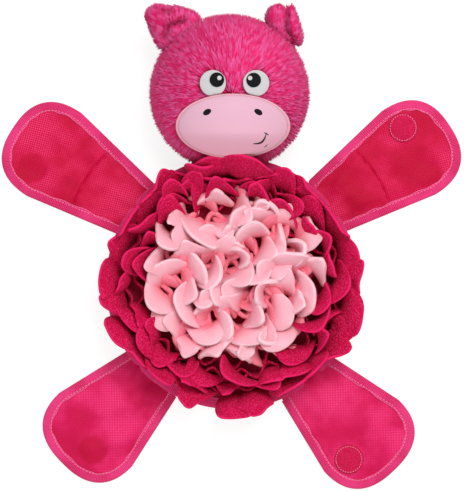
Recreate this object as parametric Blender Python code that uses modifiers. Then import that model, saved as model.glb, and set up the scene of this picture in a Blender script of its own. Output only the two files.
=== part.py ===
"""Plush snuffle toy: a round mat covered in fleece ruffles, with a stuffed animal head and four flat limbs.

Units are metres. The toy lies on its back with its face up (+Z) and its head towards +Y. The origin is the
centre of the mat's flat underside. Left and right are the viewer's, looking down on the face.

A limb is drawn along its own axis: x runs from the mat's centre out to the limb's end, y is across the limb.
Its moving pieces hang under an empty on their fold line, which lies on top of the cloth, so that a limb
folds up over the ruffles without its layers meeting.
"""

import math
from collections import namedtuple

import bmesh
import bpy
import numpy as np
from mathutils import Matrix, Vector

# Layers of cloth, and the gap that keeps neighbours apart
CLEARANCE = 0.0003
SHEET = 0.0008
TAPE = 0.0008
FLEECE = 0.0032
EDGE_CLEARANCE = CLEARANCE / 2

# Mat
MAT_RADIUS = 0.1263
BINDING_WIDTH = 0.0113
BACKING_FLAT_RADIUS = 0.106
BACKING_SLOPE = 0.006
PADDING_RADIUS = 0.104
TAB_SEAT_RADIUS = 0.1135

# Fold lines, measured from the mat's centre
FOLD_RADIUS = 0.131
ARM_CREASE_RADIUS = 0.179

# Limb patterns: a straight taper that widens to a squarish round end
Pattern = namedtuple("Pattern", "root_half widest_half widest end")
ARM = Pattern(root_half=0.0333, widest_half=0.0498, widest=0.219, end=0.2685)
LEG = Pattern(root_half=0.0362, widest_half=0.0519, widest=0.200, end=0.2475)
END_SQUARENESS = 2.5
TAPE_WIDTH = 0.0095

# How each limb lies: direction from the mat's centre, and how far its centre line passes beside that centre
Limb = namedtuple("Limb", "pattern direction shift")
ARM_LEFT = Limb(ARM, math.radians(146.5), -0.009)
ARM_RIGHT = Limb(ARM, math.radians(33.0), 0.013)
LEG_LEFT = Limb(LEG, math.radians(224.5), 0.009)
LEG_RIGHT = Limb(LEG, math.radians(314.0), -0.013)

# Touch fasteners: round patches on the limbs
FASTENER_RADIUS = 0.0145
HOOK_HEIGHT = 0.0015
Patch = namedtuple("Patch", "along across on_front")
ARM_PATCH_LEFT = Patch(0.230, 0.023, False)
ARM_PATCH_RIGHT = Patch(0.228, 0.024, True)
LEG_PATCH_LEFT = Patch(0.216, 0.013, False)
LEG_PATCH_RIGHT = Patch(0.208, -0.0255, True)

# Ruffles: strips of fleece sewn to the mat by one edge, each in a ring that snakes in and out. A ring's free
# edge leans outward from its sewn edge and swings about its own circle by more.
Ruffle = namedtuple("Ruffle", "base_radius top_radius top_height swing lobes")
RUFFLE_CENTRE = Ruffle(base_radius=0.0085, top_radius=0.0115, top_height=0.047, swing=0.0050, lobes=3)
RUFFLE_INNER = Ruffle(base_radius=0.0290, top_radius=0.0325, top_height=0.046, swing=0.0078, lobes=7)
RUFFLE_MIDDLE = Ruffle(base_radius=0.0480, top_radius=0.0545, top_height=0.045, swing=0.0078, lobes=11)
RUFFLE_LIGHT_EDGE = Ruffle(base_radius=0.0670, top_radius=0.0770, top_height=0.043, swing=0.0080, lobes=13)
RUFFLE_OUTER = Ruffle(base_radius=0.0860, top_radius=0.0978, top_height=0.039, swing=0.0078, lobes=14)
RUFFLE_RIM = Ruffle(base_radius=0.1035, top_radius=0.1185, top_height=0.032, swing=0.0080, lobes=17)
SEWN_SWING_SHARE = 0.35
LOBE_CURL_SHARE = 0.09
LOBE_DIP_SHARE = 0.1

# The rim reaches further out on the two bare sides. The two outer rings stand up and swing less before the chin.
RIM_REACH = 0.007
RIM_REACH_POWER = 10
CHIN_HALF_ANGLE = math.radians(26)
CHIN_RUFFLE_HEIGHT = 0.041
CHIN_SWING_SHARE = 0.35
OUTER_CHIN_LEAN_SHARE = 0.6
RIM_CHIN_LEAN_SHARE = 0.1

# Head: a stuffed ball with its chin low, which the ruffles press down and back
HEAD_ASIDE = -0.0025
HEAD_FORWARD = 0.189
HEAD_LIFT = 0.0522
HEAD_HALF_WIDTH = 0.079
HEAD_HALF_LENGTH = 0.080
HEAD_HALF_DEPTH = 0.052
HEAD_TILT = math.radians(8)
PLUSH = 0.008
CHIN_START = 0.150
CHIN_FLOOR = 0.012
CHIN_DROP_SHARE = 0.36
CHIN_TUCK = 0.009
CHIN_TUCK_START = 0.128
CHIN_END = 0.109

# Neck: sections from the seam on the mat into the head, its width and height at each
NECK_HALF_WIDTH = 0.038
NECK_LENGTH = 0.026
NECK_HEIGHT = 0.030
NECK_RISE = 0.009
NECK_PLACE_SHARES = (0.0, 0.18, 0.42, 0.72, 1.0)
NECK_WIDTH_SHARES = (1.0, 0.97, 0.90, 0.80, 0.72)
NECK_TOP_SHARES = (0.137, 0.40, 0.70, 0.93, 1.0)
NECK_BOTTOM_SHARES = (0.0, 0.09, 0.28, 0.61, 1.0)
NECK_ROUNDNESS = 0.7

# Face, in plan
MUZZLE_CENTRE = (0.001, 0.1575)
MUZZLE_HALF_WIDTH = 0.057
MUZZLE_HALF_HEIGHT = 0.032
MUZZLE_CROWN = 0.014
VELBOA = 0.0015
DOME_POWER = 0.6
EYE_RADIUS = 0.013
EYE_CENTRES = {"left": (-0.019, 0.200), "right": (0.024, 0.200)}
PUPIL_RADIUS = 0.0073
PUPIL_CENTRES = {"left": (-0.015, 0.2033), "right": (0.0215, 0.203)}
GLINT_RADIUS = 0.0022
GLINT_CENTRES = {"left": (-0.0125, 0.205), "right": (0.018, 0.205)}
FELT = 0.0016
FELT_CROWN = 0.0008
NOSTRIL_HALF_LENGTH = 0.0043
NOSTRIL_HALF_WIDTH = 0.0028
NOSTRIL_TILT = math.radians(30)
NOSTRIL_CENTRES = {"left": (-0.0247, 0.1712), "right": (0.0262, 0.1712)}
SMILE_ENDS = ((0.0212, 0.1397), (0.0339, 0.1491))
SMILE_SAG = 0.0036
THREAD_RADIUS = 0.0007

# Ears: cupped, rounded triangles of plush
Ear = namedtuple("Ear", "foot direction height")
EAR_LEFT = Ear(foot=(-0.0535, 0.246), direction=math.radians(135), height=0.044)
EAR_RIGHT = Ear(foot=(0.0485, 0.247), direction=math.radians(66), height=0.034)
EAR_HALF_WIDTH = 0.0265
EAR_CUP = 0.007
EAR_THICKNESS = 0.009
EAR_TIP_HALF_WIDTH = 0.0007
EAR_SUNK_SHARE = 0.25
EAR_TAPER_POWERS = (1.9, 0.62)
EAR_ACROSS_STEPS = 6
EAR_UP_STEPS = 5

# Squeaker inside the head
SQUEAKER_RADIUS = 0.024
SQUEAKER_HEIGHT = 0.016
REED_RADIUS = 0.006
REED_HEIGHT = 0.005

# Facets, and how far a cutter runs past what it cuts
ROUND_STEPS = 60
CAP_STEPS = 18
PATCH_STEPS = 20
SQUEAKER_STEPS = 32
BALL_SEGMENTS = 28
BALL_RINGS = 16
LOBE_STEPS = 7
HEIGHT_STEPS = 2
SMILE_STEPS = 8
RIM_STEPS = 6
OVERRUN = 0.004

# Heights that follow from the layers, from the ground up
TAB_BOTTOM = TAPE + CLEARANCE
FRONT_SHEET_BOTTOM = TAB_BOTTOM + SHEET + CLEARANCE
TAB_TOP = FRONT_SHEET_BOTTOM + SHEET
RAISED_BACKING_BOTTOM = TAB_TOP + CLEARANCE
LIMB_TOP = RAISED_BACKING_BOTTOM + TAPE
TOP_SHEET_BOTTOM = RAISED_BACKING_BOTTOM + SHEET + CLEARANCE
TOP_SHEET_TOP = TOP_SHEET_BOTTOM + SHEET
MAT_TOP = TOP_SHEET_TOP + CLEARANCE + TAPE
FOLD_HEIGHT = LIMB_TOP + EDGE_CLEARANCE
SHEET_RADIUS = MAT_RADIUS - TAPE - CLEARANCE

# Places that follow from the head's sizes
HEAD_CENTRE = Vector((HEAD_ASIDE, HEAD_FORWARD, HEAD_LIFT))
HEAD_AXES = Vector((HEAD_HALF_WIDTH, HEAD_HALF_LENGTH, HEAD_HALF_DEPTH))

parts = bpy.data.collections.new("plush_snuffle_toy")
cutters = bpy.data.collections.new("cutters")


def clear_scene():
    for obj in list(bpy.data.objects):
        bpy.data.objects.remove(obj)
    for collection in (parts, cutters):
        bpy.context.scene.collection.children.link(collection)


def material(name, colour, roughness=0.85):
    made = bpy.data.materials.new(name)
    made.use_nodes = True
    shader = made.node_tree.nodes["Principled BSDF"]
    shader.inputs["Base Color"].default_value = (*colour, 1)
    shader.inputs["Roughness"].default_value = roughness
    return made


def add(name, data, stuff, body=None):
    """A visible piece. With a body, it is placed in the frame of that body's empty."""
    obj = bpy.data.objects.new(name, data)
    data.materials.append(stuff)
    parts.objects.link(obj)
    obj.parent = body
    return obj


def add_at_rest(name, data, stuff, body):
    """A visible piece drawn where it lies, whose parent stands elsewhere."""
    obj = add(name, data, stuff, body)
    obj.matrix_parent_inverse = body.matrix_world.inverted()
    return obj


def add_cutter(name, data):
    obj = bpy.data.objects.new(name, data)
    cutters.objects.link(obj)
    obj.hide_render = True
    obj.display_type = "WIRE"
    return obj


def cut(obj, cutter):
    step = obj.modifiers.new(cutter.name, "BOOLEAN")
    step.operation = "DIFFERENCE"
    step.object = cutter


def joint_empty(name, location, turn=0.0, parent=None):
    empty = bpy.data.objects.new(name, None)
    parts.objects.link(empty)
    empty.parent = parent
    empty.location = location
    empty.rotation_euler.z = turn
    bpy.context.view_layer.update()
    return empty


def smooth(mesh, angle=math.radians(40)):
    mesh.shade_smooth()
    mesh.set_sharp_from_angle(angle=angle)
    return mesh


def slab(name, points, thickness):
    """A flat outline with a thickness, centred on its own level."""
    curve = bpy.data.curves.new(name, "CURVE")
    curve.dimensions = "2D"
    curve.fill_mode = "BOTH"
    curve.extrude = thickness / 2
    spline = curve.splines.new("POLY")
    spline.points.add(len(points) - 1)
    for point, (x, y) in zip(spline.points, points):
        point.co = (x, y, 0, 1)
    spline.use_cyclic_u = True
    return curve


def add_slab(name, points, bottom, top, stuff, body=None):
    obj = add(name, slab(name, points, top - bottom), stuff, body)
    obj.location.z = (bottom + top) / 2
    return obj


def slab_mesh(name, points, bottom, top):
    """The same as a mesh where it lies, which can cut."""
    mesh = as_mesh(slab(name, points, top - bottom))
    mesh.transform(Matrix.Translation((0, 0, (bottom + top) / 2)))
    return mesh


def turned(name, profile, closed=False):
    """A profile of (radius, height) points to turn about Z, running down its outer side."""
    mesh = bpy.data.meshes.new(name)
    count = len(profile)
    edges = [(i, i + 1) for i in range(count - 1)]
    if closed:
        edges.append((count - 1, 0))
    mesh.from_pydata([(radius, 0, height) for radius, height in profile], edges, [])
    return mesh


def add_turned(name, profile, stuff, closed=False, steps=ROUND_STEPS, body=None):
    obj = add(name, turned(name, profile, closed), stuff, body)
    turn(obj, steps)
    return obj


def turn(obj, steps):
    screw = obj.modifiers.new("Turn", "SCREW")
    screw.steps = steps
    screw.render_steps = steps
    screw.use_merge_vertices = True
    screw.merge_threshold = CLEARANCE / 100


def circle(radius, steps, centre=(0, 0)):
    turns = [2 * math.pi * i / steps for i in range(steps)]
    return [(centre[0] + radius * math.cos(t), centre[1] + radius * math.sin(t)) for t in turns]


def loft(name, sections):
    """A closed solid through like rings of points, its ends filled."""
    mesh = bpy.data.meshes.new(name)
    count = len(sections[0])
    points = [tuple(point) for ring in sections for point in ring]
    faces = [tuple(range(count))[::-1]]
    for i in range(len(sections) - 1):
        for j in range(count):
            k = (j + 1) % count
            faces.append((i * count + j, i * count + k, (i + 1) * count + k, (i + 1) * count + j))
    faces.append(tuple(range((len(sections) - 1) * count, len(sections) * count)))
    mesh.from_pydata(points, [], faces)
    outward(mesh)
    return mesh


def outward(mesh):
    work = bmesh.new()
    work.from_mesh(mesh)
    bmesh.ops.recalc_face_normals(work, faces=work.faces)
    work.to_mesh(mesh)
    work.free()


# Mat


def disc_profile(radius, bottom, top):
    return [(0, top), (radius, top), (radius, bottom), (0, bottom)]


def add_mat(limbs):
    nylon = material("mat_nylon", (0.64, 0.01, 0.07), 0.6)
    tape = material("mat_tape", (0.77, 0.055, 0.21), 0.7)
    foam = material("padding", (0.8, 0.8, 0.78))

    slope_foot = BACKING_FLAT_RADIUS
    slope_head = BACKING_FLAT_RADIUS + BACKING_SLOPE
    dish = [(0, SHEET), (slope_foot, SHEET), (slope_head, RAISED_BACKING_BOTTOM + SHEET)]
    dish += [(SHEET_RADIUS, RAISED_BACKING_BOTTOM + SHEET), (SHEET_RADIUS, RAISED_BACKING_BOTTOM)]
    dish += [(slope_head + SHEET / 2, RAISED_BACKING_BOTTOM), (slope_foot + SHEET / 2, 0), (0, 0)]
    add_turned("mat_backing", dish, nylon)
    padding = disc_profile(PADDING_RADIUS, SHEET + CLEARANCE, TOP_SHEET_BOTTOM - CLEARANCE)
    add_turned("mat_padding", padding, foam)
    add_turned("mat_top", disc_profile(SHEET_RADIUS, TOP_SHEET_BOTTOM, TOP_SHEET_TOP), nylon)

    inner = MAT_RADIUS - BINDING_WIDTH
    wall = MAT_RADIUS - TAPE
    ring = [(inner, MAT_TOP), (MAT_RADIUS, MAT_TOP), (MAT_RADIUS, 0), (inner, 0)]
    ring += [(inner, TAPE), (wall, TAPE), (wall, MAT_TOP - TAPE), (inner, MAT_TOP - TAPE)]
    binding = add_turned("mat_binding", ring, tape, closed=True)
    for name, limb in limbs.items():
        half = tab_half_width(limb) + CLEARANCE
        start = TAB_SEAT_RADIUS - OVERRUN
        stop = FOLD_RADIUS + OVERRUN
        points = [(start, -half), (stop, -half), (stop, half), (start, half)]
        bottom = TAB_BOTTOM - EDGE_CLEARANCE
        top = TAB_TOP + EDGE_CLEARANCE
        slot = slab_mesh(f"{name}_slot", points, bottom, top)
        slot.transform(limb_frame(limb))
        cut(binding, add_cutter(f"{name}_slot", slot))
    return nylon, tape


def as_mesh(curve):
    """A curve's solid as a mesh, with its loose caps joined to its sides."""
    stand_in = bpy.data.objects.new(curve.name, curve)
    bpy.context.scene.collection.objects.link(stand_in)
    graph = bpy.context.evaluated_depsgraph_get()
    mesh = bpy.data.meshes.new_from_object(stand_in.evaluated_get(graph))
    bpy.data.objects.remove(stand_in)
    work = bmesh.new()
    work.from_mesh(mesh)
    bmesh.ops.remove_doubles(work, verts=work.verts, dist=CLEARANCE / 100)
    bmesh.ops.recalc_face_normals(work, faces=work.faces)
    work.to_mesh(mesh)
    work.free()
    return mesh


def limb_frame(limb):
    """From a limb's own axes to the toy's: turned to its direction, and moved beside the mat's centre."""
    return Matrix.Rotation(limb.direction, 4, "Z") @ Matrix.Translation((0, limb.shift, 0))


# Limbs


def tab_half_width(limb):
    return limb.pattern.root_half - TAPE - CLEARANCE


def taper(pattern):
    return (pattern.widest_half - pattern.root_half) / (pattern.widest - FOLD_RADIUS)


def half_width(pattern, along, inset=0.0):
    """Half the limb's width on its straight taper, less an inset."""
    rise = taper(pattern)
    return pattern.root_half + rise * (along - FOLD_RADIUS) - inset * math.hypot(1, rise)


def round_end(pattern, inset=0.0):
    """The squarish round end, from the limb's +Y side to its -Y side."""
    length = pattern.end - pattern.widest - inset
    half = half_width(pattern, pattern.widest, inset)
    power = 2 / END_SQUARENESS
    points = []
    for i in range(1, CAP_STEPS):
        turn = math.pi * i / CAP_STEPS
        along = pattern.widest + length * math.sin(turn) ** power
        across = half * math.copysign(abs(math.cos(turn)) ** power, math.cos(turn))
        points.append((along, across))
    return points


def limb_edge(pattern, start, stop, inset=0.0):
    """The limb's edge from its +Y side at start round to its -Y side. With a stop, its two sides only.

    At a fold the edge runs straight out for a little, so that the tape along it ends square on the fold.
    """
    square_run = TAPE_WIDTH * taper(pattern)
    across = half_width(pattern, start, inset)
    side = [(start, across), (start + square_run, across)]
    if stop is None:
        side.append((pattern.widest, half_width(pattern, pattern.widest, inset)))
        middle = round_end(pattern, inset)
    else:
        across = half_width(pattern, stop, inset)
        side += [(stop - square_run, across), (stop, across)]
        middle = []
    return side + middle + [(along, -half) for along, half in side[::-1]]


def moved(points, offset):
    return [(x - offset, y) for x, y in points]


def tape_profile():
    """The folded tape in section: open towards the limb's middle, round the two sheets."""
    height = LIMB_TOP
    curve = bpy.data.curves.new("tape_profile", "CURVE")
    curve.dimensions = "2D"
    corners = [(0, 0), (TAPE_WIDTH, 0), (TAPE_WIDTH, TAPE), (TAPE, TAPE)]
    corners += [(x, height - y) for x, y in corners[::-1]]
    spline = curve.splines.new("POLY")
    spline.points.add(len(corners) - 1)
    for point, (x, y) in zip(spline.points, corners[::-1]):
        point.co = (x, y, 0, 1)
    spline.use_cyclic_u = True
    return add_cutter("tape_profile", curve)


def add_tape(name, path, profile, stuff, body):
    """Tape swept along an edge that keeps the limb on its right."""
    curve = bpy.data.curves.new(name, "CURVE")
    curve.dimensions = "2D"
    curve.fill_mode = "NONE"
    curve.bevel_mode = "OBJECT"
    curve.bevel_object = profile
    curve.use_fill_caps = True
    spline = curve.splines.new("POLY")
    spline.points.add(len(path) - 1)
    for point, (x, y) in zip(spline.points, path):
        point.co = (x, y, 0, 1)
    obj = add(name, curve, stuff, body)
    obj.location.z = -FOLD_HEIGHT
    return obj


def add_sheets(name, pattern, start, stop, stuff, body):
    """The back and front sheets of one panel, inside its tape."""
    edge = moved(limb_edge(pattern, start, stop, TAPE + CLEARANCE), start - CLEARANCE)
    layers = {"back": TAB_BOTTOM, "front": FRONT_SHEET_BOTTOM}
    for side, bottom in layers.items():
        bottom -= FOLD_HEIGHT
        add_slab(name.format(side), edge, bottom, bottom + SHEET, stuff, body)


def add_patch(name, patch, start, stuff, body):
    """A round touch fastener, on top of the front sheet or under the back one."""
    points = circle(FASTENER_RADIUS, PATCH_STEPS, (patch.along - start, patch.across))
    bottom = TAB_TOP + CLEARANCE if patch.on_front else 0
    top = bottom + HOOK_HEIGHT if patch.on_front else TAPE
    add_slab(name, points, bottom - FOLD_HEIGHT, top - FOLD_HEIGHT, stuff, body)


def add_tab(name, limb, stuff):
    """The limb's seam allowance, held between the layers of the mat's edge."""
    half = tab_half_width(limb)
    stop = FOLD_RADIUS - CLEARANCE
    points = [(TAB_SEAT_RADIUS, -half), (stop, -half), (stop, half), (TAB_SEAT_RADIUS, half)]
    obj = add_slab(name, points, TAB_BOTTOM, TAB_TOP, stuff)
    obj.matrix_world = limb_frame(limb) @ Matrix.Translation((0, 0, obj.location.z))


def limb_empty(name, limb, along, parent=None):
    if parent:
        return joint_empty(name, (along - FOLD_RADIUS, 0, 0), parent=parent)
    place = limb_frame(limb) @ Vector((along, 0, FOLD_HEIGHT))
    return joint_empty(name, place, limb.direction)


def add_arm(side, limb, patch, profile, nylon, tape, hook):
    add_tab(f"arm_tab_{side}", limb, nylon)
    upper = limb_empty(f"shoulder_{side}", limb, FOLD_RADIUS)
    outer = limb_empty(f"elbow_{side}", limb, ARM_CREASE_RADIUS, upper)
    start = FOLD_RADIUS + CLEARANCE
    stop = ARM_CREASE_RADIUS - CLEARANCE
    add_sheets(f"arm_upper_{{}}_{side}", limb.pattern, start, stop, nylon, upper)
    edge = moved(limb_edge(limb.pattern, start, stop), FOLD_RADIUS)
    half = len(edge) // 2
    add_tape(f"arm_upper_tape_a_{side}", edge[:half], profile, tape, upper)
    add_tape(f"arm_upper_tape_b_{side}", edge[half:], profile, tape, upper)
    start = ARM_CREASE_RADIUS + CLEARANCE
    add_sheets(f"arm_outer_{{}}_{side}", limb.pattern, start, None, nylon, outer)
    edge = moved(limb_edge(limb.pattern, start, None), ARM_CREASE_RADIUS)
    add_tape(f"arm_outer_tape_{side}", edge, profile, tape, outer)
    add_patch(f"arm_fastener_{side}", patch, ARM_CREASE_RADIUS, hook, outer)


def add_leg(side, limb, patch, profile, nylon, tape, loop):
    add_tab(f"leg_tab_{side}", limb, nylon)
    leg = limb_empty(f"hip_{side}", limb, FOLD_RADIUS)
    start = FOLD_RADIUS + CLEARANCE
    add_sheets(f"leg_{{}}_{side}", limb.pattern, start, None, nylon, leg)
    edge = moved(limb_edge(limb.pattern, start, None), FOLD_RADIUS)
    add_tape(f"leg_tape_{side}", edge, profile, tape, leg)
    add_patch(f"leg_fastener_{side}", patch, FOLD_RADIUS, loop, leg)


# Ruffles


def ruffle_point(ruffle, turn, rise, reach, chin_lean_share):
    """A point of the fleece strip: turn runs along it, and rise from its sewn edge at 0 to its free edge at 1."""
    wave = ruffle.lobes * turn
    swing = ruffle.swing * (SEWN_SWING_SHARE + (1 - SEWN_SWING_SHARE) * rise)
    lean = (ruffle.top_radius - ruffle.base_radius) * rise**2
    height = ruffle.top_height
    if chin_lean_share:
        near = before_chin(turn)
        lean *= 1 - (1 - chin_lean_share) * near
        swing *= 1 - (1 - CHIN_SWING_SHARE) * near
        height += (CHIN_RUFFLE_HEIGHT - ruffle.top_height) * near
    radius = ruffle.base_radius + lean + swing * math.cos(wave)
    radius += reach * rise * math.cos(turn) ** RIM_REACH_POWER
    lobe_length = 2 * math.pi * ruffle.base_radius / ruffle.lobes
    curl = LOBE_CURL_SHARE * lobe_length * rise * math.sin(2 * wave)
    angle = turn + curl / radius
    foot = TOP_SHEET_BOTTOM
    height = (height - foot) * (1 - LOBE_DIP_SHARE * rise * math.cos(wave))
    return radius * math.cos(angle), radius * math.sin(angle), foot + height * rise


def before_chin(turn):
    """1 before the middle of the chin, falling smoothly to 0 at its sides."""
    away = abs(math.remainder(turn - math.pi / 2, 2 * math.pi)) / CHIN_HALF_ANGLE
    return math.cos(math.pi / 2 * min(away / 2, 1)) ** 2 if away < 2 else 0.0


def add_ruffle(name, ruffle, stuff, room, reach=0.0, chin_lean_share=None):
    """A closed ring of ruffle. With a share, it gives way to the chin and keeps that much of its lean there."""
    steps = ruffle.lobes * LOBE_STEPS
    points = []
    for i in range(steps):
        turn = 2 * math.pi * i / steps
        for j in range(HEIGHT_STEPS + 1):
            points.append(ruffle_point(ruffle, turn, j / HEIGHT_STEPS, reach, chin_lean_share))
    rows = HEIGHT_STEPS + 1
    faces = []
    for i in range(steps):
        here = i * rows
        there = ((i + 1) % steps) * rows
        faces += [(here + j, there + j, there + j + 1, here + j + 1) for j in range(HEIGHT_STEPS)]
    mesh = bpy.data.meshes.new(name)
    mesh.from_pydata(points, [], faces)
    mesh.shade_smooth()
    obj = add(name, mesh, stuff)
    thick = obj.modifiers.new("Fleece", "SOLIDIFY")
    thick.thickness = FLEECE
    thick.offset = 0
    cut(obj, room)


def add_ruffles():
    square = circle(2 * MAT_RADIUS, 4)
    room = add_cutter("mat_room", slab_mesh("mat_room", square, -OVERRUN, TOP_SHEET_TOP + CLEARANCE))
    light = material("light_fleece", (0.77, 0.33, 0.40), 0.95)
    deep = material("deep_fleece", (0.60, 0.02, 0.10), 0.95)
    add_ruffle("ruffle_centre", RUFFLE_CENTRE, light, room)
    add_ruffle("ruffle_inner", RUFFLE_INNER, light, room)
    add_ruffle("ruffle_middle", RUFFLE_MIDDLE, light, room)
    add_ruffle("ruffle_light_edge", RUFFLE_LIGHT_EDGE, light, room)
    add_ruffle("ruffle_outer", RUFFLE_OUTER, deep, room, chin_lean_share=OUTER_CHIN_LEAN_SHARE)
    add_ruffle("ruffle_rim", RUFFLE_RIM, deep, room, RIM_REACH, RIM_CHIN_LEAN_SHARE)


# Head


def head_frame():
    return Matrix.Translation(HEAD_CENTRE) @ Matrix.Rotation(HEAD_TILT, 4, "X")


def ball(name, grow, coarser=1):
    """The head's ball, grown or shrunk by a distance, as a mesh where it lies."""
    work = bmesh.new()
    segments = BALL_SEGMENTS // coarser
    bmesh.ops.create_uvsphere(work, u_segments=segments, v_segments=BALL_RINGS // coarser, radius=1)
    bmesh.ops.triangulate(work, faces=work.faces, quad_method="FIXED")
    mesh = bpy.data.meshes.new(name)
    work.to_mesh(mesh)
    work.free()
    mesh.transform(Matrix.Diagonal((*[axis + grow for axis in HEAD_AXES], 1)))
    mesh.transform(head_frame())
    for vertex in mesh.vertices:
        vertex.co = tuck_chin(vertex.co)
    return mesh


def ease(share):
    share = min(max(share, 0), 1)
    return share * share * (3 - 2 * share)


def press_chin(y, z):
    """A height on the ball, pressed down towards the mat where the ruffles lie against the chin."""
    press = CHIN_DROP_SHARE * ease((CHIN_START - y) / (CHIN_START - CHIN_END))
    return z - max(z - CHIN_FLOOR, 0) * press


def tuck_chin(point):
    """A point of the ball, pressed down, and back where it would reach under the ruffles."""
    x, y, z = point
    tuck = (CHIN_TUCK_START - y) / (CHIN_TUCK_START - CHIN_END)
    return x, y + CHIN_TUCK * max(tuck, 0), press_chin(y, z)


def head_top(x, y, grow=0.0):
    """Height of the ball's upper side over a point of the plan."""
    turn = np.array(Matrix.Rotation(HEAD_TILT, 3, "X"))
    squeeze = np.diag([(axis + grow) ** -2 for axis in HEAD_AXES])
    form = turn @ squeeze @ turn.T
    dx = x - HEAD_CENTRE.x
    dy = y - HEAD_CENTRE.y
    square = form[2, 2]
    linear = form[0, 2] * dx + form[1, 2] * dy
    rest = form[0, 0] * dx * dx + 2 * form[0, 1] * dx * dy + form[1, 1] * dy * dy - 1
    top = HEAD_CENTRE.z + (-linear + math.sqrt(max(linear**2 - square * rest, 0))) / square
    return press_chin(y, top)


def dome(share):
    """A rounded crown: 1 in the middle of a patch, 0 at its edge."""
    return max(1 - share * share, 0) ** DOME_POWER


def patch_mesh(name, centre, half_x, half_y, tilt, under, thickness, crown, rings=4, steps=24):
    """An oval patch that follows the surface under it, thicker by a crown in its middle."""
    lower = []
    upper = []
    for i in range(rings + 1):
        share = 1 - i / (rings + 1)
        low_ring = []
        high_ring = []
        for j in range(steps):
            turn = 2 * math.pi * j / steps
            u = half_x * share * math.cos(turn)
            v = half_y * share * math.sin(turn)
            x = centre[0] + u * math.cos(tilt) - v * math.sin(tilt)
            y = centre[1] + u * math.sin(tilt) + v * math.cos(tilt)
            low = under(x, y)
            low_ring.append((x, y, low))
            high_ring.append((x, y, low + thickness + crown * dome(share)))
        lower.append(low_ring)
        upper.append(high_ring)
    return loft(name, lower[::-1] + upper)


def on_head(x, y):
    return head_top(x, y, CLEARANCE)


def muzzle_top(x, y):
    share = math.hypot((x - MUZZLE_CENTRE[0]) / MUZZLE_HALF_WIDTH, (y - MUZZLE_CENTRE[1]) / MUZZLE_HALF_HEIGHT)
    return on_head(x, y) + VELBOA + MUZZLE_CROWN * dome(share) + CLEARANCE


def in_head(x, y):
    return on_head(x, y) - VELBOA


def add_muzzle(head, head_room):
    velboa = material("velboa", (0.756, 0.396, 0.518), 0.8)
    ink = material("black_thread", (0.01, 0.008, 0.01), 0.6)
    oval = (MUZZLE_CENTRE, MUZZLE_HALF_WIDTH, MUZZLE_HALF_HEIGHT, 0, in_head, 2 * VELBOA, MUZZLE_CROWN)
    muzzle = add_at_rest("muzzle", smooth(patch_mesh("muzzle", *oval, rings=4, steps=32)), velboa, head)
    cut(muzzle, head_room)
    for side, lean in (("left", 1), ("right", -1)):
        name = f"nostril_{side}"
        shape = (NOSTRIL_CENTRES[side], NOSTRIL_HALF_LENGTH, NOSTRIL_HALF_WIDTH, lean * NOSTRIL_TILT)
        mesh = patch_mesh(name, *shape, muzzle_top, THREAD_RADIUS, THREAD_RADIUS, rings=1, steps=16)
        add_at_rest(name, mesh, ink, head)
    add_at_rest("smile", smile_mesh(), ink, head)


def smile_mesh():
    """One line of satin stitch that sags between its two ends."""
    start, stop = (Vector(end) for end in SMILE_ENDS)
    chord = stop - start
    down = Vector((chord.y, -chord.x)).normalized()
    curve = bpy.data.curves.new("smile", "CURVE")
    curve.dimensions = "3D"
    curve.bevel_depth = THREAD_RADIUS
    curve.bevel_resolution = 1
    curve.use_fill_caps = True
    spline = curve.splines.new("POLY")
    spline.points.add(SMILE_STEPS)
    for i, point in enumerate(spline.points):
        share = i / SMILE_STEPS
        at = start + chord * share + down * SMILE_SAG * math.sin(math.pi * share)
        point.co = (at.x, at.y, muzzle_top(at.x, at.y) + THREAD_RADIUS, 1)
    return as_mesh(curve)


def add_eyes(head):
    white = material("white_felt", (0.7, 0.66, 0.68), 0.8)
    black = material("black_felt", (0.012, 0.012, 0.013), 0.7)
    muzzle_cutter = add_cutter("muzzle_room", muzzle_room())
    for side, centre in EYE_CENTRES.items():

        def white_top(x, y, centre=centre):
            share = math.hypot(x - centre[0], y - centre[1]) / EYE_RADIUS
            return on_head(x, y) + FELT + FELT_CROWN * dome(share) + CLEARANCE

        def pupil_top(x, y, middle=PUPIL_CENTRES[side], under=white_top):
            share = math.hypot(x - middle[0], y - middle[1]) / PUPIL_RADIUS
            return under(x, y) + FELT / 2 + FELT_CROWN / 2 * dome(share) + CLEARANCE

        disc = (centre, EYE_RADIUS, EYE_RADIUS, 0, on_head, FELT, FELT_CROWN)
        eye = add_at_rest(f"eye_white_{side}", smooth(patch_mesh("eye_white", *disc, rings=2)), white, head)
        cut(eye, muzzle_cutter)
        disc = (PUPIL_CENTRES[side], PUPIL_RADIUS, PUPIL_RADIUS, 0, white_top, FELT / 2, FELT_CROWN / 2)
        add_at_rest(f"pupil_{side}", smooth(patch_mesh("pupil", *disc, rings=2, steps=20)), black, head)
        disc = (GLINT_CENTRES[side], GLINT_RADIUS, GLINT_RADIUS, 0, pupil_top, FELT / 4, FELT_CROWN / 4)
        add_at_rest(f"glint_{side}", smooth(patch_mesh("glint", *disc, rings=1, steps=12)), white, head)


def muzzle_room():
    """The muzzle's oval as a tall plug, for what its edge overlaps."""
    half_x = MUZZLE_HALF_WIDTH + CLEARANCE
    half_y = MUZZLE_HALF_HEIGHT + CLEARANCE
    turns = [2 * math.pi * i / ROUND_STEPS for i in range(ROUND_STEPS)]
    points = [(MUZZLE_CENTRE[0] + half_x * math.cos(t), MUZZLE_CENTRE[1] + half_y * math.sin(t)) for t in turns]
    return slab_mesh("muzzle_room", points, HEAD_CENTRE.z, HEAD_CENTRE.z + 2 * HEAD_AXES.z)


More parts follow.
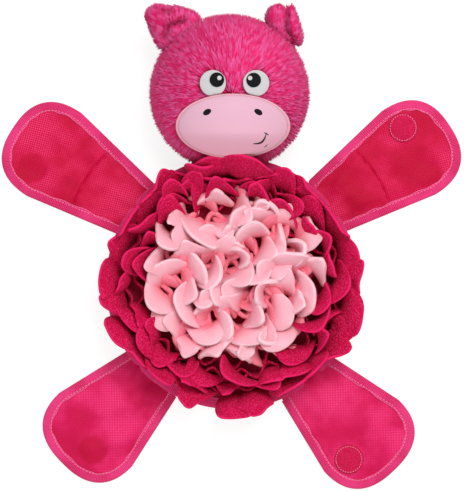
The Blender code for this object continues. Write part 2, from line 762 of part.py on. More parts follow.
def neck_mesh(name, grow):
    """The stuffed neck: flat where it is sewn to the mat, round where it enters the head."""
    seam = FOLD_RADIUS + CLEARANCE - grow
    shares = zip(NECK_PLACE_SHARES, NECK_WIDTH_SHARES, NECK_BOTTOM_SHARES, NECK_TOP_SHARES)
    sections = []
    for place_share, width_share, bottom_share, top_share in shares:
        y = seam + (NECK_LENGTH + 2 * grow) * place_share
        half_x = NECK_HALF_WIDTH * width_share + grow
        low = NECK_RISE * bottom_share
        high = NECK_HEIGHT * top_share
        middle = (low + high) / 2
        half_z = (high - low) / 2 + grow
        ring = []
        for j in range(PATCH_STEPS):
            turn = 2 * math.pi * j / PATCH_STEPS
            across = math.copysign(abs(math.cos(turn)) ** NECK_ROUNDNESS, math.cos(turn))
            up = math.copysign(abs(math.sin(turn)) ** NECK_ROUNDNESS, math.sin(turn))
            ring.append((HEAD_CENTRE.x + half_x * across, y, middle + half_z * up))
        sections.append(ring)
    return loft(name, sections)


def ear_mesh(name, ear):
    """Half a leaf: broad at the foot, rounded at the tip, its sides raised so that it forms a cup."""
    power, root = EAR_TAPER_POWERS
    points = []
    for j in range(EAR_UP_STEPS + 1):
        share = (1 + EAR_SUNK_SHARE) * j / EAR_UP_STEPS - EAR_SUNK_SHARE
        above = max(share, 0)
        width = EAR_HALF_WIDTH * (1 - above**power) ** root + EAR_TIP_HALF_WIDTH
        for i in range(EAR_ACROSS_STEPS + 1):
            side = 2 * i / EAR_ACROSS_STEPS - 1
            cup = EAR_CUP * (side * side - 1 / 2) * (1 - above / 2)
            points.append((width * side, ear.height * share, cup))
    faces = []
    row = EAR_ACROSS_STEPS + 1
    for j in range(EAR_UP_STEPS):
        for i in range(EAR_ACROSS_STEPS):
            here = j * row + i
            faces.append((here, here + 1, here + row + 1, here + row))
    mesh = bpy.data.meshes.new(name)
    mesh.from_pydata(points, [], faces)
    turn = Matrix.Rotation(ear.direction - math.pi / 2, 4, "Z")
    place = Matrix.Translation((*ear.foot, HEAD_CENTRE.z + EAR_CUP / 2))
    mesh.transform(place @ turn)
    return mesh


def add_ear(name, ear, stuff, head, room):
    mesh = ear_mesh(name, ear)
    mesh.shade_smooth()
    obj = add_at_rest(name, mesh, stuff, head)
    thick = obj.modifiers.new("Plush", "SOLIDIFY")
    thick.thickness = EAR_THICKNESS
    thick.offset = 0
    soft = obj.modifiers.new("Soft", "SUBSURF")
    soft.levels = 1
    soft.render_levels = 1
    cut(obj, room)


def stuffing_mesh(name, front):
    """One half of the fibre filling, parted on the level of the head's middle."""
    mesh = ball(name, -PLUSH - CLEARANCE, coarser=2)
    side = 1 if front else -1
    plane = HEAD_CENTRE + Vector((0, 0, side * CLEARANCE / 2))
    work = bmesh.new()
    work.from_mesh(mesh)
    everything = work.verts[:] + work.edges[:] + work.faces[:]
    bmesh.ops.bisect_plane(work, geom=everything, plane_co=plane, plane_no=(0, 0, -side), clear_outer=True)
    rim = [edge for edge in work.edges if edge.is_boundary]
    bmesh.ops.holes_fill(work, edges=rim, sides=0)
    bmesh.ops.recalc_face_normals(work, faces=work.faces)
    work.to_mesh(mesh)
    work.free()
    return mesh


def squeaker_profile(grow):
    """A flat bellows with a rounded rim, and the reed's boss on top."""
    radius = SQUEAKER_RADIUS + grow
    half = SQUEAKER_HEIGHT / 2 + grow
    boss = REED_RADIUS + grow
    turns = [math.pi * i / RIM_STEPS for i in range(RIM_STEPS + 1)]
    rim = [(radius - half + half * math.sin(t), half * math.cos(t)) for t in turns]
    return [(0, half + REED_HEIGHT), (boss, half + REED_HEIGHT), (boss, half), *rim, (0, -half)]


def add_head():
    pile = material("pink_pile", (0.80, 0.04, 0.20), 0.9)
    fibre = material("fibre_fill", (0.85, 0.85, 0.85), 0.95)
    plastic = material("squeaker_plastic", (0.8, 0.8, 0.75), 0.4)
    head = joint_empty("neck_seam", (HEAD_CENTRE.x, FOLD_RADIUS, FOLD_HEIGHT))

    neck_room = add_cutter("neck_room", neck_mesh("neck_room", CLEARANCE))
    ground = circle(2 * HEAD_AXES.y, 4, (HEAD_CENTRE.x, HEAD_CENTRE.y))
    floor = add_cutter("floor", slab_mesh("floor", ground, -OVERRUN, 0))
    head_room = add_cutter("head_room", ball("head_room", CLEARANCE))

    shell = add_at_rest("head_plush", ball("head_plush", 0), pile, head)
    shell.data.shade_smooth()
    cut(shell, add_cutter("head_hollow", ball("head_hollow", -PLUSH)))
    cut(shell, neck_room)
    cut(shell, floor)
    add_at_rest("neck", smooth(neck_mesh("neck", 0)), pile, head)

    squeaker = add_turned("squeaker", squeaker_profile(0), plastic, steps=SQUEAKER_STEPS, body=head)
    squeaker.location = HEAD_CENTRE - head.location
    room = add_cutter("squeaker_room", turned("squeaker_room", squeaker_profile(CLEARANCE)))
    room.location = HEAD_CENTRE
    turn(room, SQUEAKER_STEPS)
    for side in ("back", "front"):
        name = f"head_stuffing_{side}"
        half = add_at_rest(name, stuffing_mesh(name, side == "front"), fibre, head)
        cut(half, room)
        if side == "back":
            cut(half, neck_room)

    add_ear("ear_left", EAR_LEFT, pile, head, head_room)
    add_ear("ear_right", EAR_RIGHT, pile, head, head_room)
    add_muzzle(head, head_room)
    add_eyes(head)


def add_neck_tab(nylon):
    """The neck's seam allowance in the mat's edge."""
    half = NECK_HALF_WIDTH
    stop = FOLD_RADIUS - CLEARANCE
    left = HEAD_CENTRE.x - half
    right = HEAD_CENTRE.x + half
    points = [(left, TAB_SEAT_RADIUS), (right, TAB_SEAT_RADIUS), (right, stop), (left, stop)]
    add_slab("neck_tab", points, TAB_BOTTOM, TAB_TOP, nylon)


def main():
    clear_scene()
    neck = Limb(Pattern(NECK_HALF_WIDTH + TAPE + CLEARANCE, 0, 0, 0), math.pi / 2, -HEAD_CENTRE.x)
    limbs = {
        "arm_left": ARM_LEFT,
        "arm_right": ARM_RIGHT,
        "leg_left": LEG_LEFT,
        "leg_right": LEG_RIGHT,
        "neck": neck,
    }
    nylon, tape = add_mat(limbs)
    hook = material("touch_fastener", (0.653, 0.006, 0.067), 0.8)
    profile = tape_profile()
    add_arm("left", ARM_LEFT, ARM_PATCH_LEFT, profile, nylon, tape, hook)
    add_arm("right", ARM_RIGHT, ARM_PATCH_RIGHT, profile, nylon, tape, hook)
    add_leg("left", LEG_LEFT, LEG_PATCH_LEFT, profile, nylon, tape, hook)
    add_leg("right", LEG_RIGHT, LEG_PATCH_RIGHT, profile, nylon, tape, hook)
    add_neck_tab(nylon)
    add_ruffles()
    add_head()


main()
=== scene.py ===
# %% [markdown]
# # A plush snuffle toy, cell by cell
# The toy is a dog's foraging mat in the form of an animal on its belly: a round mat crowded with fleece
# ruffles, four flat paddle limbs of coated nylon, and a furry stuffed head. The CAD frame gives every
# size and place. This script dresses that frame: each cell makes one piece or one finish, in metres,
# where the CAD says.

# %% Load the frame and note its box
import math
from collections import namedtuple
from contextlib import contextmanager

import bmesh
import bpy
import numpy as np
from mathutils import Matrix, Vector


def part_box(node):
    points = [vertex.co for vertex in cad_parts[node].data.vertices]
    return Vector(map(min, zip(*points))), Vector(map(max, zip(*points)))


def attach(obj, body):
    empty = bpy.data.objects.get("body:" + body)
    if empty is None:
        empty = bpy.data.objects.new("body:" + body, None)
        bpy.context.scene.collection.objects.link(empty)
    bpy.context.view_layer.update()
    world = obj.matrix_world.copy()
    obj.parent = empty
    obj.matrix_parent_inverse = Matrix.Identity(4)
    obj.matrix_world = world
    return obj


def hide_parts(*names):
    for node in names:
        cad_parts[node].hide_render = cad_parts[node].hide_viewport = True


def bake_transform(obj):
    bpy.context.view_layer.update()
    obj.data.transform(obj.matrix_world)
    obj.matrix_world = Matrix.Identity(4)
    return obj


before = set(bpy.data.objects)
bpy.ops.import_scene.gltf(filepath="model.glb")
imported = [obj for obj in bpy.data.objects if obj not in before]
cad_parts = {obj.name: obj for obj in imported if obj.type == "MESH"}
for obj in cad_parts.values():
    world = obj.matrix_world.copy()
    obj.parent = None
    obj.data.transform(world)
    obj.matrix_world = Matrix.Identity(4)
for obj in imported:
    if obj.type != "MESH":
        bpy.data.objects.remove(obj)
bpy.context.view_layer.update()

# %% [markdown]
# ## Camera, floor and light
# The toy was pictured from straight above. A long lens far away keeps the head, which stands 116 mm tall,
# from looking larger than the limbs. A big lamp beyond the head and an even world light it softly, at the
# level where a colour renders about as it is written. Only camera rays see the floor glow, so the page is
# white while the cloth gets no extra light from it.

# %% Camera
scene = bpy.context.scene
CAMERA_HEIGHT = 14.0
PAGE_HEIGHT = 0.491
PAGE_MIDDLE = (0, 0.0375)
camera = bpy.data.objects.new("camera", bpy.data.cameras.new("camera"))
scene.collection.objects.link(camera)
camera.location = (*PAGE_MIDDLE, CAMERA_HEIGHT)
camera.data.sensor_width = 36
camera.data.lens = camera.data.sensor_width * CAMERA_HEIGHT / PAGE_HEIGHT
scene.camera = camera
scene.view_settings.view_transform = "Standard"
print("lens", round(camera.data.lens), "mm")

# %% Lamps and world
WORLD_STRENGTH = 0.55


def add_lamp(name, place, size, watts):
    """A square soft lamp that faces the toy."""
    lamp = bpy.data.objects.new(name, bpy.data.lights.new(name, "AREA"))
    scene.collection.objects.link(lamp)
    lamp.location = place
    lamp.rotation_euler = (-Vector(place)).to_track_quat("-Z", "Y").to_euler()
    lamp.data.size = size
    lamp.data.energy = watts


add_lamp("key_lamp", place=(0.6, 1.1, 2.1), size=1.2, watts=34)
add_lamp("fill_lamp", place=(-0.9, -1.2, 2.1), size=2.0, watts=15)
world = bpy.data.worlds.new("even_light")
world.use_nodes = True
sky = world.node_tree.nodes["Background"]
sky.inputs["Color"].default_value = (1, 1, 1, 1)
sky.inputs["Strength"].default_value = WORLD_STRENGTH
scene.world = world
print("two lamps and an even world")

# %% [markdown]
# A small wiring helper keeps the materials readable: `Wires` adds a node with its settings and inputs in
# one line, where an input is either a number or another node's output.


# %% Wiring helper
class Wires:
    """Builds a node tree: each call adds a node, sets or links its inputs, and returns it or its result."""

    def __init__(self, tree):
        self.tree = tree

    def put(self, value, socket):
        """Links a value that is another node's output to a socket, and sets any other value there."""
        if isinstance(value, bpy.types.NodeSocket):
            self.tree.links.new(value, socket)
        else:
            socket.default_value = value

    def add(self, kind, inputs=(), **settings):
        node = self.tree.nodes.new(kind)
        for key, value in settings.items():
            setattr(node, key, value)
        for key, value in dict(inputs).items():
            self.put(value, node.inputs[key])
        return node

    def math(self, operation, *values, clamp=False):
        inputs = dict(enumerate(values))
        return self.add("ShaderNodeMath", inputs, operation=operation, use_clamp=clamp).outputs[0]

    def times(self, first, second):
        return self.math("MULTIPLY", first, second)

    def vector(self, operation, *values, **named):
        inputs = {**dict(enumerate(values)), **named}
        return self.add("ShaderNodeVectorMath", inputs, operation=operation).outputs[0]

    def ramp(self, value, low, high):
        """0 below low, 1 above high, smooth between."""
        inputs = {"Value": value, "From Min": low, "From Max": high}
        return self.add("ShaderNodeMapRange", inputs, interpolation_type="SMOOTHSTEP").outputs["Result"]

    def mix(self, share, first, second):
        return self.add("ShaderNodeMix", {0: share, 6: first, 7: second}, data_type="RGBA").outputs[2]

    def place(self):
        return self.add("ShaderNodeTexCoord").outputs["Object"]

    def noise(self, scale, detail):
        inputs = {"Vector": self.place(), "Scale": scale, "Detail": detail}
        return self.add("ShaderNodeTexNoise", inputs).outputs[0]

    def attribute(self, name):
        return self.add("ShaderNodeAttribute", attribute_name=name).outputs["Fac"]


def colour(red, green, blue):
    return (red, green, blue, 1.0)


# %% Floor
FLOOR_HALF = 6.0
FLOOR_GLOW = 0.78


def floor_material():
    stuff = bpy.data.materials.new("pale_floor")
    stuff.use_nodes = True
    wires = Wires(stuff.node_tree)
    shader = stuff.node_tree.nodes["Principled BSDF"]
    shader.inputs["Roughness"].default_value = 0.9
    seen = wires.add("ShaderNodeLightPath")
    seen = wires.math("ADD", seen.outputs["Is Camera Ray"], seen.outputs["Is Glossy Ray"], clamp=True)
    wires.put(wires.mix(seen, colour(0.8, 0.8, 0.8), colour(0.3, 0.3, 0.3)), shader.inputs["Base Color"])
    strength = wires.times(seen, FLOOR_GLOW)
    glow = wires.add("ShaderNodeEmission", {"Color": colour(1, 1, 1), "Strength": strength})
    both = wires.add("ShaderNodeAddShader", {0: shader.outputs[0], 1: glow.outputs[0]})
    wires.put(both.outputs[0], stuff.node_tree.nodes["Material Output"].inputs["Surface"])
    return stuff


floor_mesh = bpy.data.meshes.new("floor")
corners = [(x * FLOOR_HALF, y * FLOOR_HALF, 0) for x, y in ((-1, -1), (1, -1), (1, 1), (-1, 1))]
floor_mesh.from_pydata(corners, [], [(0, 1, 2, 3)])
floor_mesh.materials.append(floor_material())
floor = bpy.data.objects.new("floor", floor_mesh)
scene.collection.objects.link(floor)
print("floor", 2 * FLOOR_HALF, "m square")

# %% [markdown]
# ## Fleece
# Polar fleece has a brushed nap that pills into tiny beads. Smooth round cells on object coordinates make
# the beads, and slower noise makes patches of flattened nap. They give a height for the bump, a mask for a
# painted highlight on the top of each bead, and one that darkens the patches. This effect serves two
# fleeces, so it is a node group with its own scales.


# %% Node group: the nap of fleece
def new_group(name, inputs, outputs):
    """A shader node group with float sockets: its inputs have defaults."""
    tree = bpy.data.node_groups.new(name, "ShaderNodeTree")
    for title, value in inputs.items():
        tree.interface.new_socket(title, in_out="INPUT", socket_type="NodeSocketFloat").default_value = value
    for title in outputs:
        tree.interface.new_socket(title, in_out="OUTPUT", socket_type="NodeSocketFloat")
    wires = Wires(tree)
    return tree, wires, wires.add("NodeGroupInput").outputs, wires.add("NodeGroupOutput").inputs


def make_nap_group():
    scales = {"Bead Scale": 700.0, "Patch Scale": 60.0}
    tree, wires, given, result = new_group("fleece_nap", scales, ("Beads", "Patches", "Height"))
    cells = {"Vector": wires.place(), "Scale": given["Bead Scale"], "Smoothness": 0.5}
    hollows = wires.add("ShaderNodeTexVoronoi", cells, feature="SMOOTH_F1").outputs["Distance"]
    beads = wires.math("SUBTRACT", 1.0, hollows)
    patches = wires.noise(given["Patch Scale"], 2.0)
    # This mask marks each bead's top for a painted highlight.
    wires.put(wires.ramp(beads, 0.45, 0.8), result["Beads"])
    wires.put(wires.ramp(patches, 0.35, 0.65), result["Patches"])
    wires.put(wires.math("ADD", beads, wires.times(patches, 0.6)), result["Height"])
    return tree


def use_group(wires, tree, **values):
    node = wires.add("ShaderNodeGroup", node_tree=tree)
    for key, value in values.items():
        wires.put(value, node.inputs[key.replace("_", " ")])
    return node.outputs


NAP = make_nap_group()
print("nap group has", len(NAP.nodes), "nodes")

# %% [markdown]
# A strip's own map runs along the strip in U and from the sewn edge to the free edge in V. The colour is
# painted darker towards the sewn edge, as painted shade where the pile is crushed and little light comes,
# and painted lighter along the cut edge, as a painted highlight where its loose fibres catch the light.

# %% Fleece materials
CLOTH_SPECULAR = 0.12


def new_material(name, roughness, **sockets):
    stuff = bpy.data.materials.new(name)
    stuff.use_nodes = True
    shader = stuff.node_tree.nodes["Principled BSDF"]
    shader.inputs["Roughness"].default_value = roughness
    shader.inputs["Specular IOR Level"].default_value = CLOTH_SPECULAR
    for key, value in sockets.items():
        shader.inputs[key.replace("_", " ")].default_value = value
    return stuff, Wires(stuff.node_tree), shader


def painted(made, tone, height, strength, rise):
    """Gives a new material its colour and its bump."""
    stuff, wires, shader = made
    wires.put(tone, shader.inputs["Base Color"])
    bump = wires.add("ShaderNodeBump", {"Height": height, "Strength": strength, "Distance": rise})
    wires.put(bump.outputs[0], shader.inputs["Normal"])
    return stuff


def grainy_material(name, roughness, first, second, scale, detail, strength, rise, **sockets):
    """A finish of two colours, mixed by the same fine grain that gives its bump."""
    made = new_material(name, roughness, **sockets)
    grain = made[1].noise(scale, detail)
    return painted(made, made[1].mix(grain, first, second), grain, strength, rise)


def fleece_material(name, face, fold_shade_and_patch, edge, bead, bead_highlight_share, bead_scale, rise):
    made = new_material(name, 0.95, Sheen_Weight=0.12, Sheen_Tint=edge)
    wires = made[1]
    nap = use_group(wires, NAP, Bead_Scale=bead_scale, Patch_Scale=55.0)
    along = wires.add("ShaderNodeUVMap", uv_map="strip").outputs[0]
    up = wires.add("ShaderNodeSeparateXYZ", {0: along}).outputs[1]
    # Painted shade low on the strip, a painted highlight on the bead tops, darker nap patches, and a painted
    # highlight along the cut edge.
    tone = wires.mix(wires.ramp(up, 0.2, 0.85), fold_shade_and_patch, face)
    tone = wires.mix(wires.times(nap["Beads"], bead_highlight_share), tone, bead)
    tone = wires.mix(wires.times(nap["Patches"], 0.18), tone, fold_shade_and_patch)
    tone = wires.mix(wires.times(wires.ramp(up, 0.95, 0.995), 0.75), tone, edge)
    return painted(made, tone, nap["Height"], 0.55, rise)


# The darker colour is painted shade in the folds and also tints the nap patches; the edge and bead colours
# are painted highlights.
LIGHT_FLEECE = fleece_material(
    "light_fleece", face=colour(0.91, 0.47, 0.55), fold_shade_and_patch=colour(0.86, 0.16, 0.24),
    edge=colour(0.97, 0.68, 0.74), bead=colour(0.95, 0.60, 0.66),
    bead_highlight_share=0.3, bead_scale=900.0, rise=0.0006,
)
HOT_FLEECE = fleece_material(
    "hot_fleece", face=colour(0.57, 0.002, 0.059), fold_shade_and_patch=colour(0.37, 0.001, 0.027),
    edge=colour(0.86, 0.018, 0.15), bead=colour(0.86, 0.045, 0.20),
    bead_highlight_share=0.6, bead_scale=620.0, rise=0.0012,
)
print(LIGHT_FLEECE.name, HOT_FLEECE.name)

# %% [markdown]
# ## Ruffles
# Each ruffle is one long strip of fleece, sewn to the mat by an edge that runs in a ring. Far more cloth
# is let in than the ring is long, so the strip snakes low down, and its free edge stands out in folds.
# After a while in a box the folds are combed over, each some way of its own but much like its neighbours,
# and from above each is a rounded petal. So a ring here is a low snaking strip with petals rising from
# it. A simulation of so much crowded cloth would take hours.

# %% The nine strips
Ring = namedtuple("Ring", "name node radius folds sway light")
RINGS = (
    Ring("fleece_heart", "ruffle_centre", 0.0080, 2, 0.0030, True),
    Ring("fleece_centre", "ruffle_centre", 0.0190, 5, 0.0060, True),
    Ring("fleece_inner", "ruffle_inner", 0.0310, 8, 0.0065, True),
    Ring("fleece_between", "ruffle_inner", 0.0430, 10, 0.0065, True),
    Ring("fleece_middle", "ruffle_middle", 0.0550, 13, 0.0065, True),
    Ring("fleece_light_edge", "ruffle_light_edge", 0.0670, 15, 0.0065, True),
    Ring("fleece_outer", "ruffle_outer", 0.0800, 18, 0.0065, False),
    Ring("fleece_beside_rim", "ruffle_outer", 0.0920, 20, 0.0065, False),
    Ring("fleece_rim", "ruffle_rim", 0.1045, 22, 0.0040, False),
)
LIGHT_THICKNESS, HOT_THICKNESS = 0.0052, 0.0030
STRIP_HEIGHT = 0.054
LOW_HEIGHT = 0.021
LOW_STEPS, LOW_ROWS = 16, 5
START_PER_RADIUS = 900
SEAM_HEIGHT = 0.0042
LIGHT_CENTRE = np.array((0.001, 0.010))


def turns_of(steps):
    """Equal steps round a circle."""
    return 2 * np.pi * np.arange(steps) / steps


def low_strip(ring):
    """Rows of the snaking lower part of a strip."""
    turn = turns_of(ring.folds * LOW_STEPS)
    rows = []
    for share in np.linspace(0, 1, LOW_ROWS):
        radius = ring.radius + ring.sway * share * np.cos(ring.folds * turn + ring.radius * START_PER_RADIUS)
        height = np.full(len(turn), SEAM_HEIGHT + LOW_HEIGHT * share)
        rows.append(np.column_stack([radius * np.cos(turn), radius * np.sin(turn), height]))
    return np.array(rows)


print(sum(ring.folds for ring in RINGS), "low folds in", len(RINGS), "strips")

# %% [markdown]
# A petal is drawn from its foot up. It stands straight for a share of its length and then bends over the
# way that it was combed, through its turn in radians. Across, it rolls into a trough or a ridge by its
# cup, also in radians, and its tip drifts aside by its skew. Its width swells to about half its length,
# and its tip is round, or narrower where it has a point.

# %% One petal, and the way petals are combed
Petal = namedtuple("Petal", "foot way width length straight turn cup skew point", defaults=(0.0,))
TIP_START_SHARE = 0.48
SWELL_SHARE = 0.6
FOOT_WIDTH_SHARE = 0.5
EDGE_WAVE = 0.0016
EDGE_WAVE_TURNS = 3.2
EDGE_WAVE_START = 9
COMB_WAVE_PULL = 0.75


def petal_rows(petal, across=11, along=12):
    """A petal's rows, from its foot over its bend to its tip, and how near each point is to a free edge."""
    share, side = np.meshgrid(np.linspace(0, 1, along), np.linspace(-1, 1, across), indexing="ij")
    beyond = np.clip((share - TIP_START_SHARE) / (1 - TIP_START_SHARE), 0, 1)
    swell = np.sin(np.clip(share / SWELL_SHARE, 0, 1) * np.pi / 2)
    half = petal.width / 2 * (FOOT_WIDTH_SHARE + (1 - FOOT_WIDTH_SHARE) * swell) * np.sqrt(1 - beyond**2 / 2)
    half *= 1 - petal.point * beyond
    edge = np.maximum(share, side**4 * np.clip(share * 1.6, 0, 1))
    tip = TIP_START_SHARE + (1 - TIP_START_SHARE) * beyond * np.sqrt(1 - side**2 / 2)
    share = np.where(beyond > 0, tip, share)
    radius = petal.length * (1 - petal.straight) / petal.turn
    angle = petal.turn * np.clip((share - petal.straight) / (1 - petal.straight), 0, 1)
    out = radius * (1 - np.cos(angle))
    up = petal.length * np.minimum(share, petal.straight) + radius * np.sin(angle)
    wrap = petal.width / 2 / abs(petal.cup)
    roll = half * side / wrap
    aside = wrap * np.sin(roll) + petal.skew * petal.width * share**2
    sunk = np.sign(petal.cup) * wrap * (1 - np.cos(roll))
    sunk = sunk + EDGE_WAVE * share**2 * np.cos(EDGE_WAVE_TURNS * side + EDGE_WAVE_START * petal.way)
    ahead = out - sunk * np.cos(angle)
    height = SEAM_HEIGHT + up - sunk * np.sin(angle)
    forward = np.array((math.cos(petal.way), math.sin(petal.way)))
    leftward = np.array((-forward[1], forward[0]))
    plan = petal.foot + ahead[..., None] * forward + aside[..., None] * leftward
    return np.concatenate([plan, height[..., None]], 2), edge


def comb_field(points, outward):
    """The way that the petals near each point have been combed: outward, and along a few slow waves."""
    total = outward[:, None] * points / np.linalg.norm(points, axis=1)[:, None]
    for way, quick, start in COMB_WAVES:
        along = quick * (points[:, 0] * math.cos(way) + points[:, 1] * math.sin(way))
        total += COMB_WAVE_PULL * np.column_stack([np.cos(along + start[0]), np.cos(along + start[1])])
    return np.arctan2(total[:, 1], total[:, 0])


rng = np.random.default_rng(19)
COMB_WAVES = [
    (rng.uniform(0, 2 * np.pi), rng.uniform(55, 120), rng.uniform(0, 2 * np.pi, 2)) for _ in range(4)
]
print(len(COMB_WAVES), "comb waves")

# %% [markdown]
# The light petals' feet stand on a jittered honeycomb, the hot ones' on three rough rings round it. The
# rim's petals lean far out between the limbs, less over the limbs' folds, and least before the neck.

# %% How far out the petals may reach
FOLD_RADIUS = 0.131
Limb = namedtuple("Limb", "root_half widest_half widest end direction shift crease")
LIMBS = {
    "arm_left": Limb(0.0333, 0.0498, 0.219, 0.2685, math.radians(146.5), -0.009, 0.179),
    "arm_right": Limb(0.0333, 0.0498, 0.219, 0.2685, math.radians(33.0), 0.013, 0.179),
    "leg_left": Limb(0.0362, 0.0519, 0.200, 0.2475, math.radians(224.5), 0.009, None),
    "leg_right": Limb(0.0362, 0.0519, 0.200, 0.2475, math.radians(314.0), -0.013, None),
}
REACH_AT_LIMBS, REACH_AT_NECK, REACH_FREE = 0.121, 0.117, 0.136
LIMB_HALF_ANGLE, NECK_HALF_ANGLE = 0.36, 0.45
REACH_EASE_ANGLE, REACH_EASE = 0.12, 0.008


def reach(points):
    """How far out the ruffles may come in each direction: less over the limbs' folds and before the neck."""
    angle = np.arctan2(points[..., 1], points[..., 0])
    limit = np.full(angle.shape, REACH_FREE)
    spots = [(math.pi / 2, NECK_HALF_ANGLE, REACH_AT_NECK)]
    for limb in LIMBS.values():
        spots.append((limb.direction + limb.shift / FOLD_RADIUS, LIMB_HALF_ANGLE, REACH_AT_LIMBS))
    for middle, half, least in spots:
        away = np.abs((angle - middle + np.pi) % (2 * np.pi) - np.pi)
        near = np.clip((half - away) / REACH_EASE_ANGLE, 0, 1)
        limit = np.minimum(limit, REACH_FREE - (REACH_FREE - least) * near)
    return limit


def held_in(rows):
    """Draws points back along their radius to where the ruffles may reach, the further out the more."""
    out = np.linalg.norm(rows[..., :2], axis=-1)
    start = reach(rows) - REACH_EASE
    soft = np.where(out > start, start + REACH_EASE * np.tanh((out - start) / REACH_EASE), out)
    rows = rows.copy()
    rows[..., :2] *= (soft / np.maximum(out, 1e-6))[..., None]
    return rows


print("free reach", round(1000 * REACH_FREE), "mm")

# %% Light petals
LIGHT_CEILING = 0.0468
LIGHT_PITCH, LIGHT_JITTER = 0.0196, 0.0042
LIGHT_REACH = 0.080
HONEYCOMB_ROW_SHARE = 0.87
UPPER_START = 0.015
CURLED_SHARE_UPPER, CURLED_SHARE_LOWER = 0.26, 0.10
LOW_WIDTH, LOW_LENGTH = 0.036, 0.034
feet = []
for row in range(-6, 7):
    for column in range(-6, 7):
        spot = np.array((column + 0.5 * (row % 2), row * HONEYCOMB_ROW_SHARE)) * LIGHT_PITCH
        spot = spot + rng.uniform(-LIGHT_JITTER, LIGHT_JITTER, 2)
        if np.linalg.norm(spot) < LIGHT_REACH:
            feet.append(spot + LIGHT_CENTRE)
feet = np.array(feet)
outward = 1.6 * np.clip(np.linalg.norm(feet - LIGHT_CENTRE, axis=1) / LIGHT_REACH, 0, 1) ** 3
ways = comb_field(feet - LIGHT_CENTRE, outward) + rng.uniform(-0.35, 0.35, len(feet))
light_petals, low_petals = [], []
for foot, way in zip(feet, ways):
    curled = rng.random() < (CURLED_SHARE_UPPER if foot[1] > UPPER_START else CURLED_SHARE_LOWER)
    width = rng.uniform(0.034, 0.052)
    turn = rng.uniform(0.25, 0.6) if curled else rng.uniform(0.85, 1.7)
    cup = rng.uniform(1.3, 1.9) if curled else rng.choice((1, 1, -1)) * rng.uniform(0.35, 0.9)
    skew = rng.uniform(-0.25, 0.25)
    length, straight = rng.uniform(0.044, 0.051), rng.uniform(0.18, 0.34)
    point = rng.choice((0, 0, 0.3, 0.55))
    light_petals.append(Petal(foot, way, width, length, straight, turn, cup, skew, point))
    under = foot + 0.5 * LIGHT_PITCH * np.array((math.cos(way + 1.7), math.sin(way + 1.7)))
    way = way + rng.uniform(-0.8, 0.8)
    low_petals.append(Petal(under, way, LOW_WIDTH, LOW_LENGTH, 0.45, 1.3, rng.uniform(0.4, 0.9), 0))
print(len(light_petals), "light petals, as many low ones between them")

# %% Hot petals
HotRow = namedtuple("HotRow", "radius count least_width most_width outward rim")
HOT_ROWS = (
    HotRow(0.0910, 18, 0.036, 0.054, 2.2, False),
    HotRow(0.1000, 20, 0.040, 0.058, 2.2, False),
    HotRow(0.1095, 27, 0.046, 0.064, 4.0, True),
)
hot_petals = []
for row in HOT_ROWS:
    places = np.arange(row.count) + rng.uniform(-0.2, 0.2, row.count)
    turns = 2 * np.pi * places / row.count + row.radius * 60
    radii = row.radius + rng.uniform(-0.003, 0.003, row.count)
    spots = radii[:, None] * np.column_stack([np.cos(turns), np.sin(turns)])
    ways = comb_field(spots, np.full(row.count, row.outward)) + rng.uniform(-0.45, 0.45, row.count)
    astray = (ways - turns + np.pi) % (2 * np.pi) - np.pi
    ways = turns + (0.55 if row.rim else 0.9) * np.tanh(astray)
    for foot, way in zip(spots, ways):
        straight = rng.uniform(0.05, 0.18) if row.rim else rng.uniform(0.2, 0.4)
        turn = rng.uniform(1.1, 1.6) if row.rim else rng.uniform(0.6, 1.5)
        cup = rng.choice((1, 1, -1)) * rng.uniform(0.6, 1.5)
        length = rng.uniform(0.048, 0.058) if row.rim else rng.uniform(0.043, 0.052)
        skew, point = rng.uniform(-0.3, 0.3), rng.choice((0, 0, 0.35, 0.6))
        width = rng.uniform(row.least_width, row.most_width)
        hot_petals.append(Petal(foot, way, width, length, straight, turn, cup, skew, point))
print(len(hot_petals), "hot petals")

# %% [markdown]
# The head presses on the ruffles next to it. Its form is the CAD's: a ball on three axes, tilted forward,
# its chin pressed down and back. The same few lines give its skin later. The petals also leave room for
# the pile where the head comes when it nods.

# %% The head's form
HEAD_CENTRE = np.array((-0.0025, 0.189, 0.0522))
HEAD_AXES = np.array((0.079, 0.080, 0.052))
TILT = np.array(Matrix.Rotation(math.radians(8), 3, "X"))
CHIN_START, CHIN_TUCK_START, CHIN_END = 0.150, 0.128, 0.109
CHIN_FLOOR = 0.012
CHIN_DROP_SHARE = 0.36
CHIN_TUCK = 0.009
FOLD_HEIGHT = 0.00425
NECK_FOLD = np.array((HEAD_CENTRE[0], FOLD_RADIUS, FOLD_HEIGHT))
FULL_NOD = np.array(Matrix.Rotation(math.radians(15), 3, "X"))
PILE_STANDS = 0.0105


def chin_press(y):
    share = np.clip((CHIN_START - y) / (CHIN_START - CHIN_END), 0, 1)
    return CHIN_DROP_SHARE * share * share * (3 - 2 * share)


def ball_to_head(points):
    """Presses points of the plain ball into the head's form."""
    x, y, z = points.T
    tuck = np.clip((CHIN_TUCK_START - y) / (CHIN_TUCK_START - CHIN_END), 0, None)
    low = z - np.clip(z - CHIN_FLOOR, 0, None) * chin_press(y)
    return np.stack([x, y + CHIN_TUCK * tuck, low], 1)


def depth_in_head(points, grow=0.0):
    """Below 1 inside the head, above 1 outside it."""
    x, y, z = points.T
    run = CHIN_TUCK_START - CHIN_END
    pulled = (y - CHIN_TUCK * CHIN_TUCK_START / run) / (1 - CHIN_TUCK / run)
    y = np.where(y < CHIN_TUCK_START, pulled, y)
    press = chin_press(y)
    z = np.where(z > CHIN_FLOOR, (z - CHIN_FLOOR * press) / (1 - press), z)
    local = (np.stack([x, y, z], 1) - HEAD_CENTRE) @ TILT
    return np.linalg.norm(local / (HEAD_AXES + grow), axis=1)


